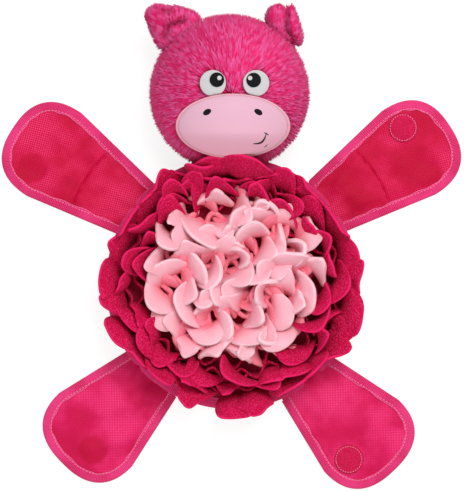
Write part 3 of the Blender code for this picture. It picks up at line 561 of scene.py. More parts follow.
def clear_of_head(rows, grow, nodding=False):
    """Moves points towards the mat until they are out of the head, and of its pile when it nods."""
    points = rows.reshape(-1, 3).copy()
    for _ in range(60):
        inside = depth_in_head(points, grow) < 1
        if nodding:
            inside |= depth_in_head((points - NECK_FOLD) @ FULL_NOD + NECK_FOLD, grow + PILE_STANDS) < 1
        points[inside, 1] -= 0.001
    return points.reshape(rows.shape)


print("chin at", round(1000 * ball_to_head(np.array([[0, CHIN_END, 0.04]]))[0, 1]), "mm")


# %% Mesh helpers
@contextmanager
def editing(mesh):
    """Opens a mesh to edit it, and writes it back."""
    work = bmesh.new()
    work.from_mesh(mesh)
    yield work
    work.to_mesh(mesh)
    work.free()


def corner_points(mesh):
    """Which point each corner of a mesh's faces is."""
    corners = np.empty(len(mesh.loops), int)
    mesh.loops.foreach_get("vertex_index", corners)
    return corners


def points_of(mesh):
    return np.array([vertex.co for vertex in mesh.vertices])


def set_map(mesh, layer, spots):
    mesh.uv_layers[layer].data.foreach_set("uv", np.asarray(spots, float).ravel())


def set_mask(mesh, name, values):
    mask = mesh.attributes.new(name, "FLOAT", "POINT")
    mask.data.foreach_set("value", np.ascontiguousarray(values, np.float32))


def grid_mesh(name, rows, closed, layer):
    """A mesh through rows of points, with a map: U along the rows, V from the first row to the last."""
    levels, count = rows.shape[:2]
    columns = count if closed else count - 1
    faces, spots = [], []
    for level in range(levels - 1):
        for i in range(columns):
            j = (i + 1) % count
            here, above = level * count, (level + 1) * count
            faces.append((here + i, here + j, above + j, above + i))
            spots += [(i, level), (i + 1, level), (i + 1, level + 1), (i, level + 1)]
    mesh = bpy.data.meshes.new(name)
    mesh.from_pydata(rows.reshape(-1, 3).tolist(), [], faces)
    mesh.uv_layers.new(name=layer)
    set_map(mesh, layer, np.array(spots, float) / (columns, levels - 1))
    mesh.shade_smooth()
    return mesh


def faced_out(mesh):
    """Closes a grid's two end rows and turns its faces outward."""
    with editing(mesh) as work:
        bmesh.ops.remove_doubles(work, verts=work.verts, dist=1e-6)
        bmesh.ops.holes_fill(work, edges=[edge for edge in work.edges if edge.is_boundary], sides=0)
        bmesh.ops.recalc_face_normals(work, faces=work.faces)
    return mesh


def add_piece(name, mesh, stuff, body=None, slot=None, nodes=()):
    """A piece with one finish, which rides on a body and stands for its CAD nodes."""
    mesh.materials.clear()
    mesh.materials.append(stuff)
    obj = bpy.data.objects.new(name, mesh)
    scene.collection.objects.link(obj)
    if body:
        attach(obj, body)
    if nodes:
        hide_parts(*nodes)
    return obj


def thicken(obj, thickness, levels=1):
    thick = obj.modifiers.new("Thickness", "SOLIDIFY")
    thick.thickness = thickness
    thick.offset = 0.0
    if levels:
        soft = obj.modifiers.new("Soft", "SUBSURF")
        soft.levels = levels
        soft.render_levels = levels


def final_mesh(obj):
    """An object's mesh as its modifiers leave it."""
    bpy.context.view_layer.update()
    graph = bpy.context.evaluated_depsgraph_get()
    return bpy.data.meshes.new_from_object(obj.evaluated_get(graph))


def flatten(obj):
    """Applies an object's modifiers."""
    mesh = final_mesh(obj)
    mesh.set_sharp_from_angle(angle=math.radians(50))
    obj.modifiers.clear()
    obj.data = mesh


def joined(name, meshes):
    """One mesh from several."""
    work = bmesh.new()
    for mesh in meshes:
        work.from_mesh(mesh)
        bpy.data.meshes.remove(mesh)
    mesh = bpy.data.meshes.new(name)
    work.to_mesh(mesh)
    work.free()
    mesh.shade_smooth()
    return mesh


def cloth_area(mesh):
    return sum(face.area for face in mesh.polygons)


print("mesh helpers")

# %% Build the strips
SEWN_SHARE = 0.1
SMALL_PETAL = 0.040
# The low strips and small low petals keep their map's V low, so they mostly take the painted fold shade.
LOW_EDGE_SHARE = 0.35
LOW_PETAL_EDGE_SHARE = 0.4


def strip_mesh(rows, edge, closed=False):
    """A grid whose map's V is the nearness to a free edge."""
    mesh = grid_mesh("strip", rows, closed, "strip")
    spots = np.empty(2 * len(mesh.loops))
    mesh.uv_layers["strip"].data.foreach_get("uv", spots)
    spots[1::2] = edge.ravel()[corner_points(mesh)]
    set_map(mesh, "strip", spots)
    return mesh


def standing_petal(petal, light):
    """A petal of a strip, kept within reach and under the folded limbs, or clear of the head."""
    small = petal.length < SMALL_PETAL
    rows, edge = petal_rows(petal, 7, 8) if small else petal_rows(petal)
    rows = held_in(rows)
    if light:
        rows[..., 2] = np.minimum(rows[..., 2], LIGHT_CEILING)
    else:
        rows = clear_of_head(rows, 0.004, nodding=True)
    return strip_mesh(rows, edge * (LOW_PETAL_EDGE_SHARE if small else 1))


def cut_size(cloth, height):
    """The flat strip that was gathered: its height is given, and some of it is sewn down."""
    return cloth / height / (1 - SEWN_SHARE), height


for ring in RINGS:
    low = low_strip(ring)
    meshes = [strip_mesh(low, np.repeat(np.linspace(0, LOW_EDGE_SHARE, len(low)), low.shape[1]), closed=True)]
    centre = LIGHT_CENTRE if ring.light else 0
    kin = [other for other in RINGS if other.light == ring.light]
    for petal in light_petals + low_petals if ring.light else hot_petals:
        out = np.linalg.norm(petal.foot - centre)
        if min(kin, key=lambda other: abs(other.radius - out)) is ring:
            meshes.append(standing_petal(petal, ring.light))
    mesh = joined(ring.name, meshes)
    cloth = cloth_area(mesh)
    stuff, slot = (LIGHT_FLEECE, "light_fleece") if ring.light else (HOT_FLEECE, "deep_fleece")
    strip = add_piece(ring.name, mesh, stuff, "mat", slot, [ring.node])
    thicken(strip, LIGHT_THICKNESS if ring.light else HOT_THICKNESS)
    flat = cut_size(cloth, STRIP_HEIGHT)
    print(ring.name, len(meshes) - 1, "petals, cut", round(1000 * flat[0]), "x", round(1000 * flat[1]), "mm")

# %% [markdown]
# Where the chin rests on the mat, the last folds of the rim have nowhere to lie. They stand up against
# the chin, and one laps over the bottom of the muzzle. They are the tallest petals, and the ones that
# most shape the toy's look, so each is listed by itself.

# %% Petals under the chin
CHIN_STRIP_HEIGHT = 0.080
CHIN_PETALS = (
    Petal((0.015, 0.103), math.radians(80), 0.064, 0.080, 0.28, 0.95, -0.60, 0.16, 0.2),
    Petal((-0.022, 0.1045), math.radians(94), 0.050, 0.068, 0.28, 0.95, -0.50, -0.10),
    Petal((-0.030, 0.104), math.radians(88), 0.044, 0.066, 0.34, 0.62, -1.30, 0.10),
    Petal((-0.057, 0.089), math.radians(112), 0.034, 0.060, 0.30, 0.80, 1.30, 0.05),
    Petal((-0.042, 0.096), math.radians(78), 0.030, 0.062, 0.30, 0.90, 1.10, -0.10),
    Petal((0.050, 0.094), math.radians(62), 0.048, 0.056, 0.23, 1.05, 1.25, 0.10),
    Petal((-0.010, 0.090), math.radians(100), 0.042, 0.056, 0.28, 0.90, 0.90, 0.10, 0.3),
    Petal((0.033, 0.090), math.radians(125), 0.040, 0.054, 0.30, 0.90, -1.10, 0.10, 0.4),
)
meshes = []
for petal in CHIN_PETALS:
    rows, edge = petal_rows(petal)
    meshes.append(strip_mesh(clear_of_head(rows, 0.003), edge))
mesh = joined("fleece_at_chin", meshes)
cloth = cloth_area(mesh)
chin_petals = add_piece("fleece_at_chin", mesh, HOT_FLEECE, None, "deep_fleece")
thicken(chin_petals, HOT_THICKNESS)
flatten(chin_petals)
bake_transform(chin_petals)
flat = cut_size(cloth, CHIN_STRIP_HEIGHT)
print("chin petals cut", round(1000 * flat[0]), "x", round(1000 * flat[1]), "mm")

# %% [markdown]
# ## Coated nylon and its tape
# The limbs are cut from a heavy plain-woven nylon with a coated back. Its threads cross in a grid of tiny
# crowns with a painted highlight, so the weave is a product of two cosines on the panel's own map, which is
# in metres. The edges are bound with a folded ribbed tape, whose ribs run across it.


# %% Node groups: weave and ribs
def cloth_spot(wires):
    """The two coordinates of a cloth's own map."""
    spot = wires.add("ShaderNodeUVMap", uv_map="cloth").outputs[0]
    return wires.add("ShaderNodeSeparateXYZ", {0: spot}).outputs


def cloth_wave(wires, along, pitch):
    return wires.math("COSINE", wires.times(along, wires.math("DIVIDE", 2 * math.pi, pitch)))


def make_weave_group():
    tree, wires, given, result = new_group("plain_weave", {"Pitch": 0.0016}, ("Crowns", "Height"))
    spot = cloth_spot(wires)
    both = wires.times(*(cloth_wave(wires, spot[axis], given["Pitch"]) for axis in (0, 1)))
    wires.put(wires.ramp(both, 0.4, 0.95), result["Crowns"])
    wires.put(both, result["Height"])
    return tree


def make_rib_group():
    tree, wires, given, result = new_group("tape_ribs", {"Pitch": 0.0013}, ("Ribs", "Edge", "Height"))
    spot = cloth_spot(wires)
    rib = cloth_wave(wires, spot[0], given["Pitch"])
    off_middle = wires.math("ABSOLUTE", wires.math("SUBTRACT", spot[1], 0.5))
    wires.put(wires.ramp(rib, 0.0, 1.0), result["Ribs"])
    wires.put(wires.ramp(off_middle, 0.44, 0.47), result["Edge"])
    wires.put(rib, result["Height"])
    return tree


WEAVE = make_weave_group()
RIBS = make_rib_group()
print("weave and rib groups")

# %% Nylon, tape and thread materials
# The colour of the painted highlight on the thread crowns.
CROWN_HIGHLIGHT = colour(0.98, 0.17, 0.36)
OVER_FASTENER_NYLON = colour(0.50, 0.001, 0.032)


def nylon_material(name, first, second, crown_share, pitch):
    """Woven cloth with a painted highlight on the crowns of its threads, strong in slow patches and faint
    elsewhere.
    """
    made = new_material(name, 0.5)
    wires = made[1]
    weave = use_group(wires, WEAVE, Pitch=pitch)
    patches = wires.noise(22.0, 3.0)
    pressed = wires.attribute("pressed")
    # Slow patches where the crown highlight is painted strongly.
    highlight_patches = wires.times(wires.ramp(patches, 0.42, 0.68), crown_share)
    share = wires.times(weave["Crowns"], wires.math("ADD", highlight_patches, 0.03))
    # Over a fastener behind the sheet, the crown highlight is left out and the colour is darker.
    share = wires.times(share, wires.math("SUBTRACT", 1.0, pressed))
    tone = wires.mix(wires.ramp(patches, 0.35, 0.65), first, second)
    tone = wires.mix(share, tone, CROWN_HIGHLIGHT)
    tone = wires.mix(wires.times(pressed, 0.7), tone, OVER_FASTENER_NYLON)
    return painted(made, tone, weave["Height"], 0.4, 0.0004)


def tape_material():
    made = new_material("ribbed_tape", 0.6, Sheen_Weight=0.15)
    wires = made[1]
    ribs = use_group(wires, RIBS, Pitch=0.0018)
    patches = wires.ramp(wires.noise(30.0, 2.0), 0.35, 0.65)
    tone = wires.mix(patches, colour(0.64, 0.008, 0.10), colour(0.80, 0.030, 0.18))
    # The rib tops are painted lighter as a highlight.
    tone = wires.mix(wires.times(ribs["Ribs"], 0.5), tone, colour(0.86, 0.10, 0.30))
    tone = wires.mix(wires.times(ribs["Edge"], 0.55), tone, colour(0.90, 0.18, 0.38))
    return painted(made, tone, ribs["Height"], 0.5, 0.0005)


ARM_NYLON = nylon_material("arm_nylon", colour(0.52, 0.001, 0.036), colour(0.66, 0.001, 0.068), 0.8, 0.0025)
LEG_NYLON = nylon_material("leg_nylon", colour(0.58, 0.002, 0.065), colour(0.76, 0.010, 0.13), 0.9, 0.0023)
MAT_NYLON = nylon_material("mat_nylon", colour(0.50, 0.004, 0.05), colour(0.42, 0.003, 0.04), 0.3, 0.0023)
TAPE_STUFF = tape_material()
THREAD, wires, shader = new_material("pink_thread", 0.5, Sheen_Weight=0.2)
twist = wires.add("ShaderNodeTexWave", {"Vector": wires.place(), "Scale": 900.0}).outputs[1]
wires.put(wires.mix(twist, colour(0.86, 0.16, 0.34), colour(0.96, 0.36, 0.52)), shader.inputs["Base Color"])
print(ARM_NYLON.name, LEG_NYLON.name, MAT_NYLON.name, TAPE_STUFF.name, THREAD.name)

# %% [markdown]
# ## Limbs
# A limb is two sheets of nylon held in one folded tape. Each is drawn on the limb's own axes: S runs out
# from the mat's centre and T across. The front sheet is a little loose, so it lifts off the back one,
# wrinkles, and creases where the arm has been folded. Because a bend may only cross one joint, an arm's
# cloth is split half-way between its two fold lines, where it lies flat at every pose.

# %% The limb's outline
END_SQUARENESS = 2.5
END_ROWS = 19
ROW_PITCH = 0.0016


def to_toy(limb, points):
    """From the limb's own axes to the toy's."""
    turn = np.array(Matrix.Rotation(limb.direction, 3, "Z"))
    return (np.asarray(points) + (0, limb.shift, 0)) @ turn.T


def half_width(limb, along, inset=0.0):
    """Half the limb's width: a straight taper, then a squarish round end."""
    rise = (limb.widest_half - limb.root_half) / (limb.widest - FOLD_RADIUS)
    inset_across = inset * math.hypot(1, rise)
    straight = limb.root_half + rise * (np.minimum(along, limb.widest) - FOLD_RADIUS) - inset_across
    out = np.clip((along - limb.widest) / (limb.end - limb.widest - inset), 0, 1)
    return straight * (1 - out**END_SQUARENESS) ** (1 / END_SQUARENESS)


def stations(limb, start, stop, inset=0.0):
    """Places along the limb for the rows of a mesh, closer together towards its round end."""
    straight_stop = min(stop, limb.widest)
    count = max(2, round((straight_stop - start) / ROW_PITCH))
    places = list(np.linspace(start, straight_stop, count + 1))
    if stop > limb.widest:
        reach_out = limb.end - limb.widest - inset
        turns = np.linspace(0, math.pi / 2, END_ROWS)[1:]
        places += [limb.widest + reach_out * math.sin(turn) ** (2 / END_SQUARENESS) for turn in turns]
    return np.array(places)


print("limb outlines for", ", ".join(LIMBS))

# %% [markdown]
# The front sheet's lift is a slack with wrinkles on it, less towards the tape. Small gathers stand at its
# root, an arm has a crease with a ridge before it, and a fastener behind a sheet dents it round its edge.

# %% How far the front sheet lifts
TAPE_WIDTH = 0.0095
FREE_RUN = 0.014
TAPE_LAP = 0.001
END_EASE = 0.8
SLACK, WRINKLE = 0.0020, 0.0011
WRINKLE_WAVES = (6, 110, 240)
GATHER_RISE, GATHER_PITCH, GATHER_RUN = 0.0008, 0.014, 0.016
CREASE_BOW, CREASE_BOW_WAVE = 0.0035, 55
RIDGE_RISE, RIDGE_HALF = 0.0014, 0.0030
CREASE_DIP, CREASE_HALF, CREASE_BEHIND = 0.0016, 0.0012, 0.0035
DENT_DEPTH, DENT_HALF, DENT_INSET = 0.0011, 0.0013, 0.001
LOWEST_LIFT = -0.0006
Patch = namedtuple("Patch", "along across front")
PATCHES = {
    "arm_left": Patch(0.230, 0.023, False),
    "arm_right": Patch(0.228, 0.024, True),
    "leg_left": Patch(0.216, 0.013, False),
    "leg_right": Patch(0.208, -0.0255, True),
}
PATCH_RADIUS = 0.0145


def bell(distance, half):
    """A bell curve, 1 at its middle."""
    return np.exp(-((distance / half) ** 2))


def soft_waves(seed, count, slowest, fastest):
    """A few plane waves with random ways and starts, to sum into wrinkles."""
    rng = np.random.default_rng(seed)
    spans = (0, math.pi), (slowest, fastest), (0, 2 * math.pi)
    return [tuple(rng.uniform(*span) for span in spans) for _ in range(count)]


def ripple(waves, s, t):
    total = 0
    for way, quick, start in waves:
        total = total + np.cos(quick * (s * math.cos(way) + t * math.sin(way)) + start)
    return total / math.sqrt(len(waves) / 2)


def front_lift(name, s, t):
    """How far the front sheet stands above its flat place."""
    limb, patch = LIMBS[name], PATCHES[name]
    waves = soft_waves(sum(map(ord, name)), *WRINKLE_WAVES)
    edge = np.minimum(half_width(limb, s) - np.abs(t), (limb.end - s) * END_EASE)
    free = np.clip((edge - TAPE_WIDTH + TAPE_LAP) / FREE_RUN, 0, 1)
    free = free * free * (3 - 2 * free)
    lift = free * (SLACK + WRINKLE * ripple(waves, s, t))
    root = np.exp(-np.clip(s - FOLD_RADIUS, 0, None) / GATHER_RUN)
    lift += free * GATHER_RISE * root * np.cos(2 * math.pi * t / GATHER_PITCH + 1)
    if limb.crease:
        bowed = s - limb.crease - CREASE_BOW * np.cos(t * CREASE_BOW_WAVE)
        lift += free * RIDGE_RISE * bell(bowed, RIDGE_HALF)
        lift -= CREASE_DIP * bell(bowed + CREASE_BEHIND, CREASE_HALF)
    if not patch.front:
        from_rim = np.hypot(s - patch.along, t - patch.across) - PATCH_RADIUS + DENT_INSET
        lift -= free * DENT_DEPTH * bell(from_rim, DENT_HALF)
    return np.clip(lift, LOWEST_LIFT, None)


print("fasteners on the front:", *(name for name, patch in PATCHES.items() if patch.front))

# %% Sheets of one span of a limb
PANEL_COLUMNS = 33
SHEET_INSET = 0.0016


def cloth_mesh(name, limb, points, columns, upward=True):
    """A grid on the limb's own axes, moved to its place, with a map in metres."""
    faces = []
    for row in range(len(points) // columns - 1):
        for i in range(columns - 1):
            here = row * columns + i
            corner = (here, here + columns, here + columns + 1, here + 1)
            faces.append(corner if upward else corner[::-1])
    mesh = bpy.data.meshes.new(name)
    mesh.from_pydata(to_toy(limb, points).tolist(), [], faces)
    mesh.uv_layers.new(name="cloth")
    set_map(mesh, "cloth", points[corner_points(mesh)][:, :2])
    mesh.shade_smooth()
    return mesh


def sheet_mesh(name, limb_name, start, stop, height, lifted):
    """A sheet between two places along a limb. A patch behind a lifted one is marked on it."""
    limb, patch = LIMBS[limb_name], PATCHES[limb_name]
    places = stations(limb, start, stop, SHEET_INSET)
    shares = np.linspace(-1, 1, PANEL_COLUMNS)
    s = np.repeat(places, PANEL_COLUMNS)
    t = (half_width(limb, places, SHEET_INSET)[:, None] * shares[None, :]).ravel()
    z = np.full(len(s), height)
    if lifted:
        z += front_lift(limb_name, s, t)
    mesh = cloth_mesh(name, limb, np.column_stack([s, t, z]), PANEL_COLUMNS, upward=lifted)
    if lifted and not patch.front:
        from_middle = np.hypot(s - patch.along, t - patch.across)
        set_mask(mesh, "pressed", np.clip((PATCH_RADIUS + 0.0015 - from_middle) / 0.003, 0, 1))
    return mesh


print("sheet maker with", PANEL_COLUMNS, "columns")

# %% The tape round a span's edge
CAP_STEPS = 73
TAPE_GAP = 0.00035
TAPE_LIFT_SHARE = 0.6
TAPE_UPPER = 0.002
TAPE_WAVES = (4, 150, 420)
TAPE_SWING, TAPE_WAVE = 0.05, 0.0001
TAPE_SECTION = (
    (0.0095, 0.0036), (0.0078, 0.0038), (0.0052, 0.0038), (0.0026, 0.0038),
    (0.0010, 0.0036), (0.0003, 0.0029), (0.0001, 0.0020), (0.0003, 0.0011),
    (0.0010, 0.0005), (0.0026, 0.0004), (0.0060, 0.0004), (0.0095, 0.0005),
)


def tape_path(limb, start, stop, inset=0.0):
    """The limb's edge, from its +T side round to its -T side, or two sides where it stops short."""
    places = stations(limb, start, stop, inset)
    side = np.column_stack([places, half_width(limb, places, inset)])
    if stop < limb.end - inset:
        return [side, side[::-1] * (1, -1)]
    steps = np.linspace(0, math.pi, CAP_STEPS)[1:-1]
    length = limb.end - limb.widest - inset
    widest = half_width(limb, limb.widest, inset)
    power = 2 / END_SQUARENESS
    cap_s = limb.widest + length * np.sin(steps) ** power
    cap_t = widest * np.sign(np.cos(steps)) * np.abs(np.cos(steps)) ** power
    straight = side[places <= limb.widest]
    return [np.concatenate([straight, np.column_stack([cap_s, cap_t]), straight[::-1] * (1, -1)])]


def lefts_of(path):
    """The unit vectors to the left of a line in the plan."""
    run = np.gradient(path, axis=0)
    run /= np.linalg.norm(run, axis=1)[:, None]
    return np.column_stack([-run[:, 1], run[:, 0]])


def tape_mesh(name, limb_name, path):
    """The folded tape: its section at every point of the edge. Its map's U is the length along it."""
    length = np.concatenate([[0], np.cumsum(np.linalg.norm(np.diff(path, axis=0), axis=1))])
    wave = ripple(soft_waves(len(limb_name), *TAPE_WAVES), *path.T)
    rows = []
    for inward, height in TAPE_SECTION:
        inward = inward * (1 + TAPE_SWING * wave) + TAPE_GAP
        spots = path - lefts_of(path) * inward[:, None]
        lift = np.zeros(len(path))
        if height > TAPE_UPPER:
            lift = np.maximum(TAPE_LIFT_SHARE * front_lift(limb_name, *spots.T), 0) + TAPE_WAVE * wave
        rows.append(np.column_stack([spots, height + lift]))
    columns = len(TAPE_SECTION)
    mesh = cloth_mesh(name, LIMBS[limb_name], np.stack(rows, 1).reshape(-1, 3), columns)
    corners = corner_points(mesh)
    set_map(mesh, "cloth", np.column_stack([length[corners // columns], corners % columns / (columns - 1)]))
    return mesh


print("tape maker with", len(TAPE_SECTION), "points across")

# %% [markdown]
# Sewing repeats, so Geometry Nodes make it: a curve is cut into equal steps, and a stitch, a short bowed
# rod, is set on each. The tree ends in real geometry, which is then taken out as a plain mesh.


# %% Node tree: a line of stitches
def new_tree(name, *sockets):
    """A tree that changes geometry; its other inputs are given as kind, title and default."""
    tree = bpy.data.node_groups.new(name, "GeometryNodeTree")
    for kind, title, value in (("Geometry", "Geometry", None), *sockets):
        socket = tree.interface.new_socket(title, in_out="INPUT", socket_type="NodeSocket" + kind)
        if value is not None:
            socket.default_value = value
    tree.interface.new_socket("Geometry", in_out="OUTPUT", socket_type="NodeSocketGeometry")
    wires = Wires(tree)
    return tree, wires, wires.add("NodeGroupInput").outputs, wires.add("NodeGroupOutput").inputs


def planted(wires, points, shape, turn, size, material, result):
    """Sets a shape on points and sends it out as real geometry with its material."""
    inputs = {"Points": points, "Instance": shape, "Rotation": turn, "Scale": size}
    shapes = wires.add("GeometryNodeInstanceOnPoints", inputs).outputs[0]
    real = wires.add("GeometryNodeRealizeInstances", {0: shapes}).outputs[0]
    finish = wires.add("GeometryNodeSetMaterial", {"Geometry": real, "Material": material})
    wires.put(finish.outputs[0], result[0])


def stitch_tree():
    tree, wires, given, result = new_tree(
        "stitch_line", ("Float", "Pitch", 0.0034), ("Float", "Length", 0.0024),
        ("Float", "Thickness", 0.0007), ("Material", "Material", None),
    )
    curve = wires.add("GeometryNodeMeshToCurve", {0: given["Geometry"]}).outputs[0]
    steps = {"Curve": curve, "Length": given["Pitch"]}
    spots = wires.add("GeometryNodeCurveToPoints", steps, mode="LENGTH").outputs
    rod = wires.add("GeometryNodeMeshUVSphere", {"Segments": 8, "Rings": 5, "Radius": 0.5}).outputs[0]
    size = {0: given["Thickness"], 1: given["Thickness"], 2: given["Length"]}
    size = wires.add("ShaderNodeCombineXYZ", size).outputs[0]
    planted(wires, spots[0], rod, spots["Rotation"], size, given["Material"], result)
    return tree


def grow(name, mesh, tree, **values):
    """Runs a node tree on a mesh and returns what it makes as a plain mesh."""
    source = bpy.data.objects.new(name, mesh)
    scene.collection.objects.link(source)
    modifier = source.modifiers.new("Nodes", "NODES")
    modifier.node_group = tree
    for item in tree.interface.items_tree:
        title = item.name.replace(" ", "_")
        if item.in_out == "INPUT" and title in values:
            modifier[item.identifier] = values[title]
    result = final_mesh(source)
    source.modifiers.clear()
    bpy.data.objects.remove(source)
    result.name = name
    return result


def stitched(name, points, stuff=THREAD, **values):
    """Stitches along a line of points in the toy's frame."""
    path = bpy.data.meshes.new(name)
    path.from_pydata([tuple(point) for point in points], [(i, i + 1) for i in range(len(points) - 1)], [])
    return grow(name, path, STITCHES, Material=stuff, **values)


STITCHES = stitch_tree()
print("stitch tree has", len(STITCHES.nodes), "nodes")

# %% Sew the limbs together
ARM_SPLIT = 0.155
SPAN_START, TAPE_START = 0.114, 0.1195
SHEET_HEIGHTS = {"back": 0.0015, "front": 0.0026}
NYLON_THICKNESS, TAPE_THICKNESS = 0.0007, 0.0006
SEAM_INSET, SEAM_RISE = 0.0082, 0.0042
FOLD_HALF = 0.0025
WHOLE = 1.0


def limb_spans(name):
    """Each span of a limb: its piece name, start, stop, the two bodies that it joins, and their fold."""
    kind, side = name.split("_")
    if kind == "leg":
        return [(name, SPAN_START, WHOLE, "mat", f"leg_{side}", FOLD_RADIUS)]
    upper, outer = f"arm_upper_{side}", f"arm_outer_{side}"
    return [
        (f"{name}_root", SPAN_START, ARM_SPLIT, "mat", upper, FOLD_RADIUS),
        (f"{name}_paddle", ARM_SPLIT, WHOLE, upper, outer, LIMBS[name].crease),
    ]


def nodes_of(name, layer):
    """The CAD nodes that one layer of a limb stands for."""
    kind, side = name.split("_")
    if kind == "leg":
        return [f"leg_{layer}_{side}"]
    if layer == "tape":
        return [f"arm_outer_tape_{side}", f"arm_upper_tape_a_{side}", f"arm_upper_tape_b_{side}"]
    return [f"arm_upper_{layer}_{side}", f"arm_outer_{layer}_{side}"]


def bend(obj, limb, inner, outer, fold):
    """Works out a fold line's two ends but does nothing with them, and bakes the piece's place into its mesh.
    """
    start, end = to_toy(limb, [(fold - FOLD_HALF, 0, FOLD_HEIGHT), (fold + FOLD_HALF, 0, FOLD_HEIGHT)])
    tuple(start)
    tuple(end)
    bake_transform(obj)


for name, limb in LIMBS.items():
    kind, side = name.split("_")
    nylon = ARM_NYLON if limb.crease else LEG_NYLON
    for span, start, stop, *joint in limb_spans(name):
        stop = min(stop, limb.end - SHEET_INSET)
        width = 2 * float(half_width(limb, min(stop, limb.widest)))
        for layer, height in SHEET_HEIGHTS.items():
            mesh = sheet_mesh(f"{span}_{layer}", name, start, stop, height, layer == "front")
            panel = add_piece(f"{span}_{layer}", mesh, nylon, None, "limb_nylon", nodes_of(name, layer))
            thicken(panel, NYLON_THICKNESS, 0)
            flatten(panel)
            bend(panel, limb, *joint)
            area = min(cloth_area(mesh), 0.99 * width * (stop - start))
        if start < FOLD_RADIUS:
            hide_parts(f"{kind}_tab_{side}")
        start = max(start, TAPE_START)
        round_end = stop > limb.widest
        for letter, path in zip("ab", tape_path(limb, start, limb.end if round_end else stop)):
            tape_name = f"{span}_tape_{letter}"
            mesh = tape_mesh(tape_name, name, path)
            tape = add_piece(tape_name, mesh, TAPE_STUFF, None, "tape", nodes_of(name, "tape"))
            thicken(tape, TAPE_THICKNESS, 0)
            flatten(tape)
            bend(tape, limb, *joint)
        lines = tape_path(limb, start, limb.end - SEAM_INSET if round_end else stop, SEAM_INSET)
        for letter, line in zip("ab", lines):
            lift = TAPE_LIFT_SHARE * np.clip(front_lift(name, *line.T), 0, None)
            mesh = stitched(f"{span}_seam_{letter}", to_toy(limb, np.column_stack([line, SEAM_RISE + lift])))
            bend(add_piece(f"{span}_seam_{letter}", mesh, THREAD, None, "tape"), limb, *joint)
    print(name, "sewn")

# %% [markdown]
# ## Touch fasteners
# Two limbs carry the hooked half of a round touch fastener on their front, and two carry the looped half
# on their back, where only its outline shows through. A fastener is a thick felted disc with a sewn edge;
# its hooks are a fine, stiff bump.

# %% Fasteners
FRONT_FACE, BACK_FACE = 0.0043, 0.0008
DISC_COLUMNS, DISC_RINGS = 48, 9
DISC_SIDE = (-0.0009, -0.0003)
DISC_ROUNDING = 0.0004
DISC_SEAM_INSET = 0.0016


def patch_points(name, radius, turn):
    """Points on a limb's fastener, on the limb's own axes."""
    patch = PATCHES[name]
    s, t = patch.along + radius * np.cos(turn), patch.across + radius * np.sin(turn)
    face = FRONT_FACE + front_lift(name, s, t) if patch.front else np.full(len(s), BACK_FACE)
    return np.column_stack([s, t, face])


def disc_mesh(name, limb_name):
    """A round patch on a limb, with a rounded edge and a short side."""
    drops = [(1.0, drop) for drop in DISC_SIDE] + [(1 - k / DISC_RINGS, 0.0) for k in range(DISC_RINGS)]
    rows = []
    for share, drop in drops:
        row = patch_points(limb_name, PATCH_RADIUS * share, turns_of(DISC_COLUMNS))
        row[:, 2] += drop - DISC_ROUNDING * share**8
        rows.append(to_toy(LIMBS[limb_name], row))
    mesh = grid_mesh(name, np.array(rows), True, "strip")
    with editing(mesh) as work:
        work.verts.ensure_lookup_table()
        for first in (0, (len(rows) - 1) * DISC_COLUMNS):
            work.faces.new([work.verts[first + i] for i in range(DISC_COLUMNS)])
        bmesh.ops.recalc_face_normals(work, faces=work.faces)
    return mesh


def fastener_material():
    made = new_material("touch_fastener", 0.75, Sheen_Weight=0.1)
    wires = made[1]
    hooks = wires.add("ShaderNodeTexVoronoi", {"Vector": wires.place(), "Scale": 1300.0}).outputs["Distance"]
    tone = wires.mix(wires.ramp(hooks, 0.1, 0.7), colour(0.78, 0.02, 0.13), colour(0.50, 0.001, 0.04))
    return painted(made, tone, hooks, 0.7, 0.0005)


FASTENER = fastener_material()
for name, limb in LIMBS.items():
    kind, side = name.split("_")
    body = f"arm_outer_{side}" if kind == "arm" else f"leg_{side}"
    mesh = disc_mesh(f"{name}_fastener", name)
    add_piece(f"{name}_fastener", mesh, FASTENER, body, "hook_and_loop", [f"{kind}_fastener_{side}"])
    ring = patch_points(name, PATCH_RADIUS - DISC_SEAM_INSET, np.linspace(0, 2 * np.pi, 61)) + (0, 0, 0.0001)
    mesh = stitched(f"{name}_fastener_seam", to_toy(limb, ring), Pitch=0.0026, Length=0.0018)
    add_piece(f"{name}_fastener_seam", mesh, THREAD, body, "hook_and_loop")
print("four fasteners")

# %% [markdown]
# ## Mat
# Under the ruffles lies the mat itself: a top sheet that they are sewn to, a backing sheet that is dished
# round the padding, and a ribbed tape that binds both. Most of it only shows from the back, where the
# backing puckers a little along each ring of stitches.

# %% Mat sheets and binding
MAT_RADIUS = 0.1263
BACKING_RADIUS, TOP_RADIUS = 0.12525, 0.1252
DISH_RADIUS = 0.108
PUCKER_RISE, PUCKER_RUN, PUCKERS_PER_RADIUS = 0.0007, 0.0022, 900
BACKING_HEIGHT, TOP_HEIGHT = 0.0004, 0.0048
BACKING_EDGE = ((0.109, 0.0020), (0.112, 0.0035), (0.1185, 0.0037), (0.125, 0.0037))
TOP_RADII = (0.00001, 0.02, 0.04, 0.06, 0.08, 0.1, 0.115, TOP_RADIUS)
BINDING_STEPS = 240
BINDING_SEAM_RADIUS, BINDING_SEAM_HEIGHT = 0.1165, 0.0064
BINDING_WIDTH = 0.0113
BINDING_SECTION = (
    (0.1153, 0.0059), (0.1180, 0.0060), (0.1210, 0.0060), (0.1238, 0.0059),
    (0.1254, 0.0055), (0.1259, 0.0045), (0.1259, 0.0031), (0.1259, 0.0018),
    (0.1254, 0.0009), (0.1238, 0.0005), (0.1210, 0.0004), (0.1153, 0.0004),
)
BINDING_WAVES = soft_waves(31, 5, 9, 30)


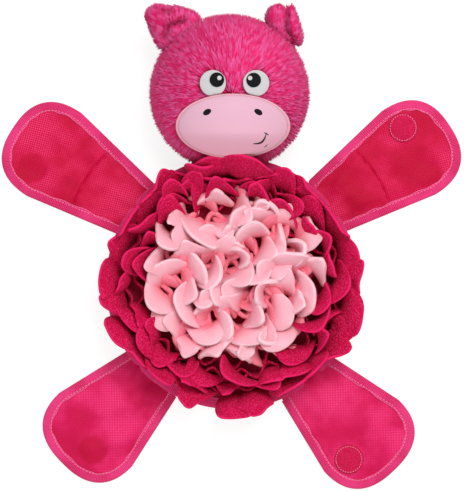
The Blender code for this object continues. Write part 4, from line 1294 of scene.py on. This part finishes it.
def turned_mesh(name, profile, steps, wobble=None):
    """A profile of (radius, height) turned about the mat's centre, its map in metres."""
    turn = turns_of(steps)
    rows = np.empty((len(profile), steps, 3))
    for row, (radius, height) in zip(rows, profile):
        row[:] = np.column_stack([radius * np.cos(turn), radius * np.sin(turn), np.full(steps, height)])
        if wobble:
            wobble(radius, turn, row)
    mesh = grid_mesh(name, rows, True, "cloth")
    set_map(mesh, "cloth", rows.reshape(-1, 3)[corner_points(mesh)][:, :2])
    return mesh


def faced(mesh, up):
    """Merges the middle and turns the faces up or down."""
    with editing(mesh) as work:
        bmesh.ops.remove_doubles(work, verts=work.verts, dist=1e-6)
        if (sum(face.normal.z for face in work.faces) > 0) != up:
            bmesh.ops.reverse_faces(work, faces=work.faces)
    return mesh


def backing_wobble(radius, turn, row):
    """Puckers the backing a little along each ring of stitches."""
    if radius < DISH_RADIUS:
        away = min(abs(radius - ring.radius) for ring in RINGS)
        waves = 1 + 0.6 * np.cos(radius * PUCKERS_PER_RADIUS * turn / (2 * np.pi))
        row[:, 2] += PUCKER_RISE * bell(away, PUCKER_RUN) * waves


def binding_wobble(radius, turn, row):
    """Lets the tape's width vary a little round the mat."""
    push = 0.0003 * sum(np.cos(round(quick) * turn + start) for _, quick, start in BINDING_WAVES) / 2
    inward = (MAT_RADIUS - radius) / BINDING_WIDTH
    row[:, :2] *= (1 - np.clip((push + 0.0002) * inward, 0, None) / radius)[:, None]


radii = np.concatenate([[0.00001], np.linspace(0.004, 0.106, 52)])
profile = [(radius, BACKING_HEIGHT) for radius in radii] + list(BACKING_EDGE)
mesh = faced(turned_mesh("mat_underside", profile, 180, backing_wobble), up=False)
backing = add_piece("mat_underside", mesh, MAT_NYLON, "mat", "mat_nylon", ["mat_backing"])
thicken(backing, NYLON_THICKNESS, 0)
mesh = faced(turned_mesh("mat_face", [(radius, TOP_HEIGHT) for radius in TOP_RADII], 96), up=True)
face_sheet = add_piece("mat_face", mesh, MAT_NYLON, "mat", "mat_nylon", ["mat_top"])
thicken(face_sheet, NYLON_THICKNESS, 0)
area = math.pi * TOP_RADIUS**2

mesh = turned_mesh("mat_edge_tape", BINDING_SECTION, BINDING_STEPS, binding_wobble)
corner = np.arange(len(mesh.loops))
around = (corner // 4 % BINDING_STEPS + np.array([0, 1, 1, 0])[corner % 4]) / BINDING_STEPS
across = corner_points(mesh) // BINDING_STEPS / (len(BINDING_SECTION) - 1)
set_map(mesh, "cloth", np.column_stack([around * 2 * math.pi * MAT_RADIUS, across]))
with editing(mesh) as work:
    bmesh.ops.recalc_face_normals(work, faces=work.faces)
binding = add_piece("mat_edge_tape", mesh, TAPE_STUFF, "mat", "tape", ["mat_binding"])
thicken(binding, TAPE_THICKNESS, 0)
turn = np.linspace(0, 2 * np.pi, BINDING_STEPS + 1)
line = BINDING_SEAM_RADIUS * np.column_stack([np.cos(turn), np.sin(turn), np.zeros(len(turn))])
mesh = stitched("mat_edge_seam", line + (0, 0, BINDING_SEAM_HEIGHT))
add_piece("mat_edge_seam", mesh, THREAD, "mat", "tape")
print("mat sheets, binding and its seam")

# %% [markdown]
# ## Head skin and fur
# The head is a ball of long-pile plush, packed with fibre. Real pile is millions of hairs that clump into
# tufts; each tuft here is one thin curved cone. Geometry Nodes scatter them over the skin, comb them away
# from a point between the eyes, lean each towards the nearest clump's middle, and vary their length. The
# skin under them lies a pile's depth inside the CAD's ball, so the tips end on its surface. Places that
# the face covers carry no pile.

# %% The face's places, and the height of the head over the plan
MUZZLE_CENTRE = np.array((0.001, 0.1563))
MUZZLE_HALF = np.array((0.057, 0.032))
EYES = {"left": (-0.019, 0.1987), "right": (0.024, 0.1987)}
PUPILS = {"left": (-0.015, 0.2020), "right": (0.0215, 0.2017)}
GLINTS = {"left": (-0.0125, 0.2037), "right": (0.018, 0.2037)}
EYE_RADIUS, PUPIL_RADIUS, GLINT_RADIUS = 0.013, 0.0073, 0.0022
SKIN_LAP = 0.0003


def head_top(x, y):
    """Height of the head's upper side over a point of the plan."""
    form = TILT @ np.diag((HEAD_AXES + SKIN_LAP) ** -2.0) @ TILT.T
    dx, dy = x - HEAD_CENTRE[0], y - HEAD_CENTRE[1]
    linear = form[0, 2] * dx + form[1, 2] * dy
    rest = form[0, 0] * dx * dx + 2 * form[0, 1] * dx * dy + form[1, 1] * dy * dy - 1
    top = HEAD_CENTRE[2] + (-linear + np.sqrt(np.clip(linear**2 - form[2, 2] * rest, 0, None))) / form[2, 2]
    return top - np.clip(top - CHIN_FLOOR, 0, None) * chin_press(y)


def muzzle_share(x, y):
    """0 at the muzzle's middle, 1 on its edge."""
    return np.hypot((x - MUZZLE_CENTRE[0]) / MUZZLE_HALF[0], (y - MUZZLE_CENTRE[1]) / MUZZLE_HALF[1])


print("crown at", round(1000 * float(head_top(0.0, 0.2))), "mm")

# %% Head skin with its pile masks
PILE = 0.0078
PILE_BELOW = 0.0092
SKIN_SEGMENTS, SKIN_RINGS = 112, 72
CHIN_BARE = (0.128, 0.035)
BACK_TO_FRONT, BACK_TO_FRONT_RUN = 0.030, 0.012


def skin_rows():
    """Rows of points over the head's form, a pile's depth in, from its floor side up."""
    around = turns_of(SKIN_SEGMENTS)
    axes = HEAD_AXES - (PILE, PILE_BELOW, PILE)
    rows = []
    for k in range(SKIN_RINGS + 1):
        up = -np.pi / 2 + np.pi * np.clip(k / SKIN_RINGS, 0.004, 0.996)
        out, height = np.cos(up), np.full(SKIN_SEGMENTS, np.sin(up))
        ring = np.column_stack([out * np.cos(around), out * np.sin(around), height])
        rows.append(ball_to_head(ring * axes @ TILT.T + HEAD_CENTRE))
    return np.array(rows)


skin = faced_out(grid_mesh("head_skin", skin_rows(), True, "cloth"))
x, y, z = points_of(skin).T
bare = muzzle_share(x, y) < 0.97
for eye in EYES.values():
    bare |= np.hypot(x - eye[0], y - eye[1]) < EYE_RADIUS - 0.001
fur = 1.0 - (bare & (z > HEAD_CENTRE[2] * 0.75))
fur[(y < CHIN_BARE[0]) & (z < CHIN_BARE[1])] = 0.0
front = np.clip((z - BACK_TO_FRONT) / BACK_TO_FRONT_RUN, 0, 1)
set_mask(skin, "fur", fur)
set_mask(skin, "front", front)
set_mask(skin, "back", 1 - front)
print("skin has", len(skin.vertices), "points")

# %% One tuft
TUFT_BOW, TUFT_SLIM, TUFT_TAPER = 0.34, 0.085, 0.55
TUFT_LEVELS = (0.0, 0.35, 0.7)


def tuft_mesh(name):
    """A thin three-sided cone one long that bows towards +X, with its height kept as an attribute."""
    points, faces, shares = [], [], []
    for level, share in enumerate(TUFT_LEVELS):
        for corner in range(3):
            turn = 2 * math.pi * corner / 3
            radius = TUFT_SLIM * (1 - TUFT_TAPER * share)
            points.append((radius * math.cos(turn) + TUFT_BOW * share**2, radius * math.sin(turn), share))
            shares.append(share)
            here, after = 3 * level + corner, 3 * level + (corner + 1) % 3
            faces.append((here, after, after + 3, here + 3) if share < TUFT_LEVELS[-1] else (here, after, 9))
    points.append((TUFT_BOW, 0, 1))
    shares.append(1.0)
    mesh = bpy.data.meshes.new(name)
    mesh.from_pydata(points, [], faces)
    mesh.shade_smooth()
    set_mask(mesh, "tip", shares)
    return mesh


TUFT = bpy.data.objects.new("tuft", tuft_mesh("tuft"))
scene.collection.objects.link(TUFT)
print("a tuft has", len(TUFT.data.polygons), "faces")

# %% Node tree: combed pile
NORMAL_SHARE, STRAY_SHARE = 0.62, 0.16
SHORTEST, LONGEST = 0.70, 1.25


def fur_tree():
    tree, wires, given, result = new_tree(
        "combed_pile", ("Object", "Tuft", None), ("Material", "Material", None),
        ("String", "Mask", "front"), ("Float", "Density", 1e6), ("Int", "Seed", 1),
        ("Float", "Length", 0.009), ("Float", "Width", 0.0085),
        ("Float", "Clumps", 150000.0), ("Float", "Clump Pull", 0.75),
        ("Float", "Comb", 0.8), ("Vector", "Comb Centre", (0, 0.185, 0.09)),
    )

    def named(name):
        return wires.add("GeometryNodeInputNamedAttribute", {"Name": name}, data_type="FLOAT").outputs[0]

    def spread(density, seed):
        inputs = {0: given["Geometry"], "Density": density, "Seed": seed}
        return wires.add("GeometryNodeDistributePointsOnFaces", inputs).outputs

    def chance(kind, inputs):
        made = wires.add("FunctionNodeRandomValue", inputs, data_type=kind)
        return made.outputs[0 if kind == "FLOAT_VECTOR" else 1]

    def scaled(value, share):
        return wires.vector("SCALE", value, Scale=share)

    def stored(points, name, value, kind):
        inputs = {"Geometry": points, "Name": name, "Value": value}
        return wires.add("GeometryNodeStoreNamedAttribute", inputs, data_type=kind, domain="POINT").outputs[0]

    furry = wires.times(named("fur"), named(given["Mask"]))
    hairs = spread(wires.times(furry, given["Density"]), given["Seed"])
    clumps = spread(given["Clumps"], 77)[0]
    place = wires.add("GeometryNodeInputPosition").outputs[0]
    nearest = wires.add("GeometryNodeSampleNearest", {"Geometry": clumps}, domain="POINT").outputs[0]
    inputs = {"Geometry": clumps, "Value": place, "Index": nearest}
    clump = wires.add("GeometryNodeSampleIndex", inputs, data_type="FLOAT_VECTOR", domain="POINT").outputs[0]
    away = wires.vector("NORMALIZE", wires.vector("SUBTRACT", place, given["Comb Centre"]))
    stray = chance("FLOAT_VECTOR", {0: (-1, -1, -1), 1: (1, 1, 1), "Seed": 5})
    comb = wires.vector("ADD", scaled(away, given["Comb"]), scaled(stray, STRAY_SHARE))
    pull = wires.math("DIVIDE", given["Clump Pull"], given["Length"])
    pull = scaled(wires.vector("SUBTRACT", clump, place), pull)
    along = wires.vector("ADD", wires.vector("ADD", scaled(hairs["Normal"], NORMAL_SHARE), comb), pull)
    along = {"Vector": wires.vector("NORMALIZE", along)}
    turn = wires.add("FunctionNodeAlignRotationToVector", along, axis="Z").outputs[0]
    turn = {0: turn, "Vector": away}
    turn = wires.add("FunctionNodeAlignRotationToVector", turn, axis="X", pivot_axis="Z").outputs[0]
    long = wires.times(chance("FLOAT", {2: SHORTEST, 3: LONGEST, "Seed": 9}), given["Length"])
    size = wires.add("ShaderNodeCombineXYZ", {0: given["Width"], 1: given["Width"], 2: long}).outputs[0]
    tuft = wires.add("GeometryNodeObjectInfo", {0: given["Tuft"]}).outputs["Geometry"]
    shade = chance("FLOAT", {2: 0.0, 3: 1.0, "ID": nearest, "Seed": 13})
    points = stored(hairs[0], "shade", shade, "FLOAT")
    points = stored(points, "lie", hairs["Normal"], "FLOAT_VECTOR")
    planted(wires, points, tuft, turn, size, given["Material"], result)
    return tree


PILE_TREE = fur_tree()
print("pile tree has", len(PILE_TREE.nodes), "nodes")

# %% [markdown]
# A tuft is painted darker towards its root as painted shade among the tufts, and each clump has its own tone.
# A field of cones that are lit one by one looks too dark and too grainy for pile, so a tuft is lit partly by
# the way that the skin under it faces.

# %% Fur and skin materials
OWN_SHARE = 0.5


def fur_material():
    sheen = {"Sheen_Weight": 1.0, "Sheen_Roughness": 0.6, "Sheen_Tint": colour(1.0, 0.16, 0.36)}
    stuff, wires, shader = new_material("pink_pile", 0.75, **sheen)
    clump = wires.ramp(wires.attribute("shade"), 0.1, 0.9)
    pile = wires.mix(clump, colour(0.97, 0.018, 0.19), colour(1.0, 0.12, 0.39))
    # Painted shade towards each tuft's root, with the pile's own colour towards the tip.
    tone = wires.mix(wires.ramp(wires.attribute("tip"), 0.0, 0.6), colour(0.76, 0.005, 0.10), pile)
    wires.put(tone, shader.inputs["Base Color"])
    lie = wires.add("ShaderNodeAttribute", attribute_name="lie").outputs["Vector"]
    ways = {"vector_type": "NORMAL", "convert_from": "OBJECT", "convert_to": "WORLD"}
    turned = wires.add("ShaderNodeVectorTransform", {0: lie}, **ways).outputs[0]
    own = wires.vector("SCALE", wires.add("ShaderNodeNewGeometry").outputs["Normal"], Scale=OWN_SHARE)
    wires.put(wires.vector("NORMALIZE", wires.vector("ADD", turned, own)), shader.inputs["Normal"])
    return stuff


FUR = fur_material()
# The knitted ground under the pile, painted darker than the pile as the shade among the tufts and in the
# ears' creases.
SHADED_SKIN = grainy_material(
    "plush_ground", 0.9, colour(0.46, 0.002, 0.05), colour(0.74, 0.010, 0.12), 800.0, 3.0, 0.6, 0.001,
    Sheen_Weight=0.2,
)
print(FUR.name, SHADED_SKIN.name)

# %% Plant the pile
PILE_PARTS = {
    "fur_face": ("front", 0.57e6, 1),
    "fur_crown": ("front", 0.57e6, 2),
    "fur_back": ("back", 0.5e6, 3),
}
PILE_FLOOR = 0.0004
for name, (mask, density, seed) in PILE_PARTS.items():
    mesh = grow(name, skin.copy(), PILE_TREE, Tuft=TUFT, Mask=mask, Density=density, Seed=seed, Material=FUR)
    for vertex in mesh.vertices:
        vertex.co.z = max(vertex.co.z, PILE_FLOOR)
    add_piece(name, mesh, FUR, "head", "pink_pile")
    print(name, len(mesh.polygons), "faces")
plush = add_piece("head_skin", skin, SHADED_SKIN, "head", "pink_pile", ["head_plush"])

# %% [markdown]
# ## Muzzle and eyes
# The muzzle is an oval of short velboa, padded so that it stands out like a cushion, with a row of
# top-stitching just inside its edge. The eyes are discs of felt. All of them follow the head's form, and
# the muzzle's edge lies over the bottom of the eyes.


# %% Oval patches that follow the head
def oval_mesh(name, centre, half, height, rings, steps, skirt=0.005, tilt=0.0):
    """A patch from its middle out to its edge, then down into the pile, under a given surface."""
    turn = turns_of(steps)
    rows = []
    for share in (0.002, *np.sin(np.linspace(0.08, 1, rings) * np.pi / 2), 1.0):
        u, v = half[0] * share * np.cos(turn), half[1] * share * np.sin(turn)
        x = centre[0] + u * math.cos(tilt) - v * math.sin(tilt)
        y = centre[1] + u * math.sin(tilt) + v * math.cos(tilt)
        rows.append(np.column_stack([x, y, height(x, y, np.full(steps, share))]))
    rows[-1][:, 2] -= skirt
    return faced_out(grid_mesh(name, np.array(rows), True, "cloth"))


def dome(share, power=0.5):
    """1 over a patch's middle, falling round to 0 at its edge."""
    return np.clip(1 - share**2, 0, None) ** power


def felt_material(name, first, second):
    return grainy_material(name, 0.8, first, second, 1100.0, 3.0, 0.35, 0.0004, Sheen_Weight=0.1)


WHITE_FELT = felt_material("white_felt", colour(0.50, 0.49, 0.50), colour(0.62, 0.62, 0.63))
BLACK_FELT = felt_material("black_felt", colour(0.002, 0.002, 0.003), colour(0.009, 0.009, 0.010))
INK = felt_material("black_thread", colour(0.003, 0.002, 0.003), colour(0.011, 0.008, 0.009))
MUZZLE_THREAD = felt_material("pale_thread", colour(0.62, 0.28, 0.38), colour(0.80, 0.45, 0.55))
print(WHITE_FELT.name, BLACK_FELT.name, INK.name, MUZZLE_THREAD.name)

# %% Muzzle
MUZZLE_CROWN, VELBOA = 0.013, 0.0018
SEAM_SHARE = 0.955
SEAM_DIP, SEAM_DIP_HALF, SEAM_SHADE_HALF = 0.0009, 0.014, 0.012


def muzzle_height(x, y, share=None):
    share = muzzle_share(x, y) if share is None else share
    dip = SEAM_DIP * bell(share - SEAM_SHARE, SEAM_DIP_HALF)
    return head_top(x, y) + VELBOA + MUZZLE_CROWN * dome(share, 0.6) - dip


def velboa_material():
    made = new_material("muzzle_velboa", 0.85, Sheen_Weight=0.3, Sheen_Roughness=0.4)
    wires = made[1]
    pile, patches = wires.noise(1500.0, 2.0), wires.noise(45.0, 2.0)
    # Painted lighter towards the muzzle's lower side and darker towards its upper side, against the way the
    # lamps light it.
    high = wires.ramp(wires.add("ShaderNodeSeparateXYZ", {0: wires.place()}).outputs[1], 0.125, 0.175)
    tone = wires.mix(high, colour(0.93, 0.49, 0.62), colour(0.70, 0.41, 0.53))
    tone = wires.mix(wires.times(patches, 0.35), tone, colour(0.82, 0.44, 0.55))
    # Painted shade in the dip along the seam.
    tone = wires.mix(wires.times(wires.attribute("seam"), 0.7), tone, colour(0.62, 0.20, 0.27))
    tone = wires.mix(wires.times(wires.attribute("rim"), 0.8), tone, colour(0.88, 0.42, 0.50))
    return painted(made, tone, wires.math("ADD", pile, patches), 0.25, 0.0005)


muzzle = oval_mesh("muzzle_cushion", MUZZLE_CENTRE, MUZZLE_HALF, muzzle_height, rings=34, steps=128)
shares = muzzle_share(*points_of(muzzle)[:, :2].T)
set_mask(muzzle, "seam", bell(shares - SEAM_SHARE, SEAM_SHADE_HALF))
set_mask(muzzle, "rim", np.clip((shares - SEAM_SHARE) / 0.02, 0, 1))
add_piece("muzzle_cushion", muzzle, velboa_material(), "head", "velboa", ["muzzle"])
turn = np.linspace(0, 2 * np.pi, 181)
x, y = (MUZZLE_CENTRE + SEAM_SHARE * MUZZLE_HALF * np.column_stack([np.cos(turn), np.sin(turn)])).T
line = np.column_stack([x, y, muzzle_height(x, y) + 0.0001])
mesh = stitched("muzzle_seam", line, MUZZLE_THREAD, Pitch=0.0030, Length=0.0022)
add_piece("muzzle_seam", mesh, MUZZLE_THREAD, "head", "velboa")
print("muzzle", len(muzzle.polygons), "faces")

# %% Eyes
EYE_TUCK = 0.006
EyeDisc = namedtuple("EyeDisc", "name node slot stuff places radius lift bulge skirt")
EYE_DISCS = (
    EyeDisc("eye_felt", "eye_white", "white_felt", WHITE_FELT, EYES, EYE_RADIUS, 0.0016, 0.0016, 0.004),
    EyeDisc("pupil_felt", "pupil", "black_felt", BLACK_FELT, PUPILS, PUPIL_RADIUS, 0.0007, 0.0006, 0.001),
    EyeDisc("glint_stitch", "glint", "white_felt", WHITE_FELT, GLINTS, GLINT_RADIUS, 0.0003, 0.0003, 0.0005),
)


def eye_seat(x, y):
    """The head under the eyes, which dips where the muzzle laps over them."""
    return head_top(x, y) - np.clip((1.03 - muzzle_share(x, y)) / 0.05, 0, 1) * EYE_TUCK


def raised(disc, middle, under):
    """The height of a small bulging disc that lies on another surface."""

    def height(x, y, share=None):
        if share is None:
            share = np.hypot(x - middle[0], y - middle[1]) / disc.radius
        return under(x, y) + disc.lift + disc.bulge * dome(share)

    return height


for side in EYES:
    surface = eye_seat
    for disc in EYE_DISCS:
        middle = disc.places[side]
        surface = raised(disc, middle, surface)
        name = f"{disc.name}_{side}"
        half = disc.radius, disc.radius
        mesh = oval_mesh(name, middle, half, surface, rings=8, steps=48, skirt=disc.skirt)
        add_piece(name, mesh, disc.stuff, "head", disc.slot, [f"{disc.node}_{side}"])
print("two eyes")

# %% [markdown]
# Nostrils and smile are satin stitch: threads laid side by side across the shape. The nostrils get fine
# ridges, and the smile is a bowed line with a short cap stroke at its end and a dimple beside it.

# %% Embroidery
Stroke = namedtuple("Stroke", "name start stop sag steps least most nodes")
STROKES = (
    Stroke("smile_stitch", (0.0212, 0.1385), (0.0339, 0.1479), 0.0036, 17, 0.0004, 0.0009, ["smile"]),
    Stroke("smile_cap", (0.0320, 0.1495), (0.0362, 0.1470), -0.0003, 7, 0.0003, 0.0006, []),
    Stroke("smile_dimple", (0.0318, 0.1353), (0.0352, 0.1383), 0.0006, 7, 0.0002, 0.0004, []),
)
NOSTRILS = {"left": ((-0.0247, 0.1699), math.radians(30)), "right": ((0.0262, 0.1699), math.radians(-30))}
NOSTRIL_HALF = (0.0044, 0.0028)
NOSTRIL_BULGE = 0.0005
THREAD_RIDGE, THREAD_PITCH = 0.00008, 0.0007


def stroke_mesh(stroke):
    """A low rounded bead along a bowed line on the muzzle, widest half-way."""
    start, chord = np.array(stroke.start), np.subtract(stroke.stop, stroke.start)
    down = np.array((chord[1], -chord[0])) / np.hypot(*chord)
    share = np.linspace(0, 1, stroke.steps)[:, None]
    points = start + chord * share + down * stroke.sag * np.sin(np.pi * share)
    widths = (stroke.least + (stroke.most - stroke.least) * np.sin(np.pi * share)).ravel()
    rows = []
    for turn in turns_of(8):
        across = points + lefts_of(points) * (widths * math.cos(turn))[:, None]
        rows.append(np.column_stack([across, muzzle_height(*across.T) + widths * math.sin(turn)]))
    return faced_out(grid_mesh(stroke.name, np.stack(rows, 1), True, "cloth"))


def nostril_height(x, y, share):
    ridges = THREAD_RIDGE * np.cos(2 * np.pi * x / THREAD_PITCH)
    return muzzle_height(x, y) + NOSTRIL_BULGE * dome(share) + ridges


for stroke in STROKES:
    add_piece(stroke.name, stroke_mesh(stroke), INK, "head", "black_thread", stroke.nodes)
for side, (centre, tilt) in NOSTRILS.items():
    name = f"nostril_stitch_{side}"
    mesh = oval_mesh(name, centre, NOSTRIL_HALF, nostril_height, rings=6, steps=40, skirt=0.0006, tilt=tilt)
    add_piece(name, mesh, INK, "head", "black_thread", [f"nostril_{side}"])
print("embroidery")

# %% [markdown]
# ## Ears and neck
# The ears are sewn from two layers of the same plush, lightly stuffed, and squashed in their box: the
# left one has a hollow with a fold over it, and the right one is creased into two lobes. Each is a low
# cushion inside a drawn outline, with its creases pressed in, and it gets shorter pile than the
# head. The neck is a short stuffed tube between the mat's edge and the chin.

# %% Ears
Ear = namedtuple("Ear", "node middle outline creases")
EARS = (
    Ear("ear_left", (-0.060, 0.2545), (
        (-0.0700, 0.2290), (-0.0796, 0.2418), (-0.0850, 0.2551), (-0.0875, 0.2697), (-0.0778, 0.2788),
        (-0.0620, 0.2775), (-0.0487, 0.2757), (-0.0293, 0.2648), (-0.0310, 0.2450), (-0.0500, 0.2300),
    ), (
        ((-0.0735, 0.2735), (-0.0680, 0.2690), (-0.0610, 0.2675)),
        ((-0.0656, 0.2430), (-0.0625, 0.2545), (-0.0480, 0.2590)),
    )),
    Ear("ear_right", (0.0525, 0.2565), (
        (0.0305, 0.2620), (0.0350, 0.2739), (0.0447, 0.2784), (0.0525, 0.2740),
        (0.0548, 0.2695), (0.0586, 0.2791), (0.0640, 0.2721), (0.0689, 0.2600),
        (0.0713, 0.2430), (0.0671, 0.2333), (0.0500, 0.2370), (0.0360, 0.2460),
    ), (
        ((0.0550, 0.2720), (0.0535, 0.2515), (0.0600, 0.2400)),
    )),
)
EAR_ROWS = (*np.linspace(0.04, 0.9, 15), 0.96, 1.0, -0.95, -0.8, -0.6, -0.35, -0.1)
EAR_RISE, EAR_DROP, EAR_SQUARENESS = 0.0095, 0.0045, 2.4
EAR_PILE = 0.0055
EAR_CREASE_DEPTH, EAR_CREASE_HALF, EAR_PARTING_HALF = 0.0110, 0.0036, 0.0034
EAR_TUFTS = {"Density": 1.7e6, "Seed": 21, "Length": 0.0056, "Width": 0.0075, "Comb": 0.45, "Clump_Pull": 0.5}


def closed_curve(points, steps=9):
    """A smooth closed line through a few points."""
    points = np.array(points)
    spots = []
    for i in range(len(points)):
        before, here, after, beyond = (points[(i + k) % len(points)] for k in (-1, 0, 1, 2))
        for share in np.arange(steps) / steps:
            bent = (2 * before - 5 * here + 4 * after - beyond) * share**2
            bent = bent + (3 * (here - after) + beyond - before) * share**3
            spots.append(here + ((after - before) * share + bent) / 2)
    return np.array(spots)


def crease_distance(plan, creases):
    """How far each point of the plan is from the nearest crease."""
    nearest = np.full(plan.shape[:-1], 1.0)
    for crease in creases:
        for start, stop in zip(np.array(crease), np.array(crease)[1:]):
            chord = stop - start
            share = np.clip((plan - start) @ chord / (chord @ chord), 0, 1)
            nearest = np.minimum(nearest, np.linalg.norm(plan - start - share[..., None] * chord, axis=-1))
    return nearest


def ear_skin(ear):
    """A cushion inside the ear's outline, with its creases pressed in and its pile parted there."""
    middle = np.array(ear.middle)
    low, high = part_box(ear.node)
    base = (low[2] + high[2]) / 2
    outline = closed_curve(ear.outline) - middle
    outline *= (1 - EAR_PILE / np.linalg.norm(outline, axis=1))[:, None]
    rows = []
    for share in EAR_ROWS:
        plan = middle + abs(share) * outline
        swollen = math.sqrt(1 - abs(share) ** EAR_SQUARENESS)
        pressed = EAR_CREASE_DEPTH * bell(crease_distance(plan, ear.creases), EAR_CREASE_HALF)
        height = (EAR_RISE - pressed if share > 0 else np.full(len(plan), -EAR_DROP)) * swollen
        rows.append(np.column_stack([plan, base + height]))
    mesh = faced_out(grid_mesh(ear.node + "_skin", np.array(rows), True, "cloth"))
    points = points_of(mesh)
    # Where the pile is thinned along a crease, the darker skin shows as a line of painted shade.
    parted = bell(crease_distance(points[:, :2], ear.creases), EAR_PARTING_HALF) * (points[:, 2] > base)
    set_mask(mesh, "fur", 1 - 0.85 * parted)
    set_mask(mesh, "front", np.ones(len(points)))
    return mesh


for ear in EARS:
    mesh = ear_skin(ear)
    foot = (ear.middle[0] * 0.8, ear.middle[1] - 0.03, 0.055)
    tufts = {"Tuft": TUFT, "Mask": "front", "Comb_Centre": foot, "Material": FUR, **EAR_TUFTS}
    fur = grow(f"{ear.node}_fur", mesh.copy(), PILE_TREE, **tufts)
    add_piece(f"{ear.node}_fur", fur, FUR, "head", "pink_pile")
    add_piece(f"{ear.node}_skin", mesh, SHADED_SKIN, "head", "pink_pile", [ear.node])
    print(ear.node, len(fur.polygons), "faces")
bpy.data.objects.remove(TUFT)

# %% Neck
Section = namedtuple("Section", "along width low high")
NECK_SECTIONS = (
    Section(0.0, 1.0, 0.0, 0.0041), Section(0.18, 0.97, 0.0008, 0.012), Section(0.42, 0.90, 0.0025, 0.021),
    Section(0.72, 0.80, 0.0055, 0.028), Section(1.0, 0.72, 0.009, 0.030),
)
NECK_STEPS = 40
NECK_START, NECK_LENGTH, NECK_HALF_WIDTH = 0.1285, 0.029, 0.038
NECK_SQUARENESS = 0.7
turn = turns_of(NECK_STEPS)
across = np.sign(np.cos(turn)) * np.abs(np.cos(turn)) ** NECK_SQUARENESS
up = np.sign(np.sin(turn)) * np.abs(np.sin(turn)) ** NECK_SQUARENESS
rows = []
for section in NECK_SECTIONS:
    x = HEAD_CENTRE[0] + NECK_HALF_WIDTH * section.width * across
    y = np.full(NECK_STEPS, NECK_START + NECK_LENGTH * section.along)
    z = (section.low + section.high) / 2 + (section.high - section.low) / 2 * up
    rows.append(np.column_stack([x, y, z]))
neck_mesh = faced_out(grid_mesh("neck_skin", np.array(rows), True, "cloth"))
neck = add_piece("neck_skin", neck_mesh, SHADED_SKIN, None, "pink_pile", ["neck"])
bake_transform(neck)
print("neck", len(neck_mesh.polygons), "faces")

# %% [markdown]
# ## Parts inside
# The padding, the head's two handfuls of fibre, the squeaker and the neck's tab stay as the CAD has them,
# because only a cut would show them. They still get their own finishes.

# %% Finishes of the parts inside
FIBRE = grainy_material(
    "fibre_fill_white", 0.95, colour(0.72, 0.72, 0.70), colour(0.86, 0.86, 0.84), 260.0, 4.0, 0.5, 0.002
)
SQUEAKER = grainy_material(
    "squeaker_shell", 0.4, colour(0.70, 0.70, 0.66), colour(0.80, 0.80, 0.76), 60.0, 4.0, 0.5, 0.0002
)
INNER = {
    "mat_padding": FIBRE, "head_stuffing_back": FIBRE, "head_stuffing_front": FIBRE, "squeaker": SQUEAKER,
    "neck_tab": ARM_NYLON,
}
for node, stuff in INNER.items():
    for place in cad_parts[node].material_slots:
        place.material = stuff
print(len(INNER), "inner parts finished")
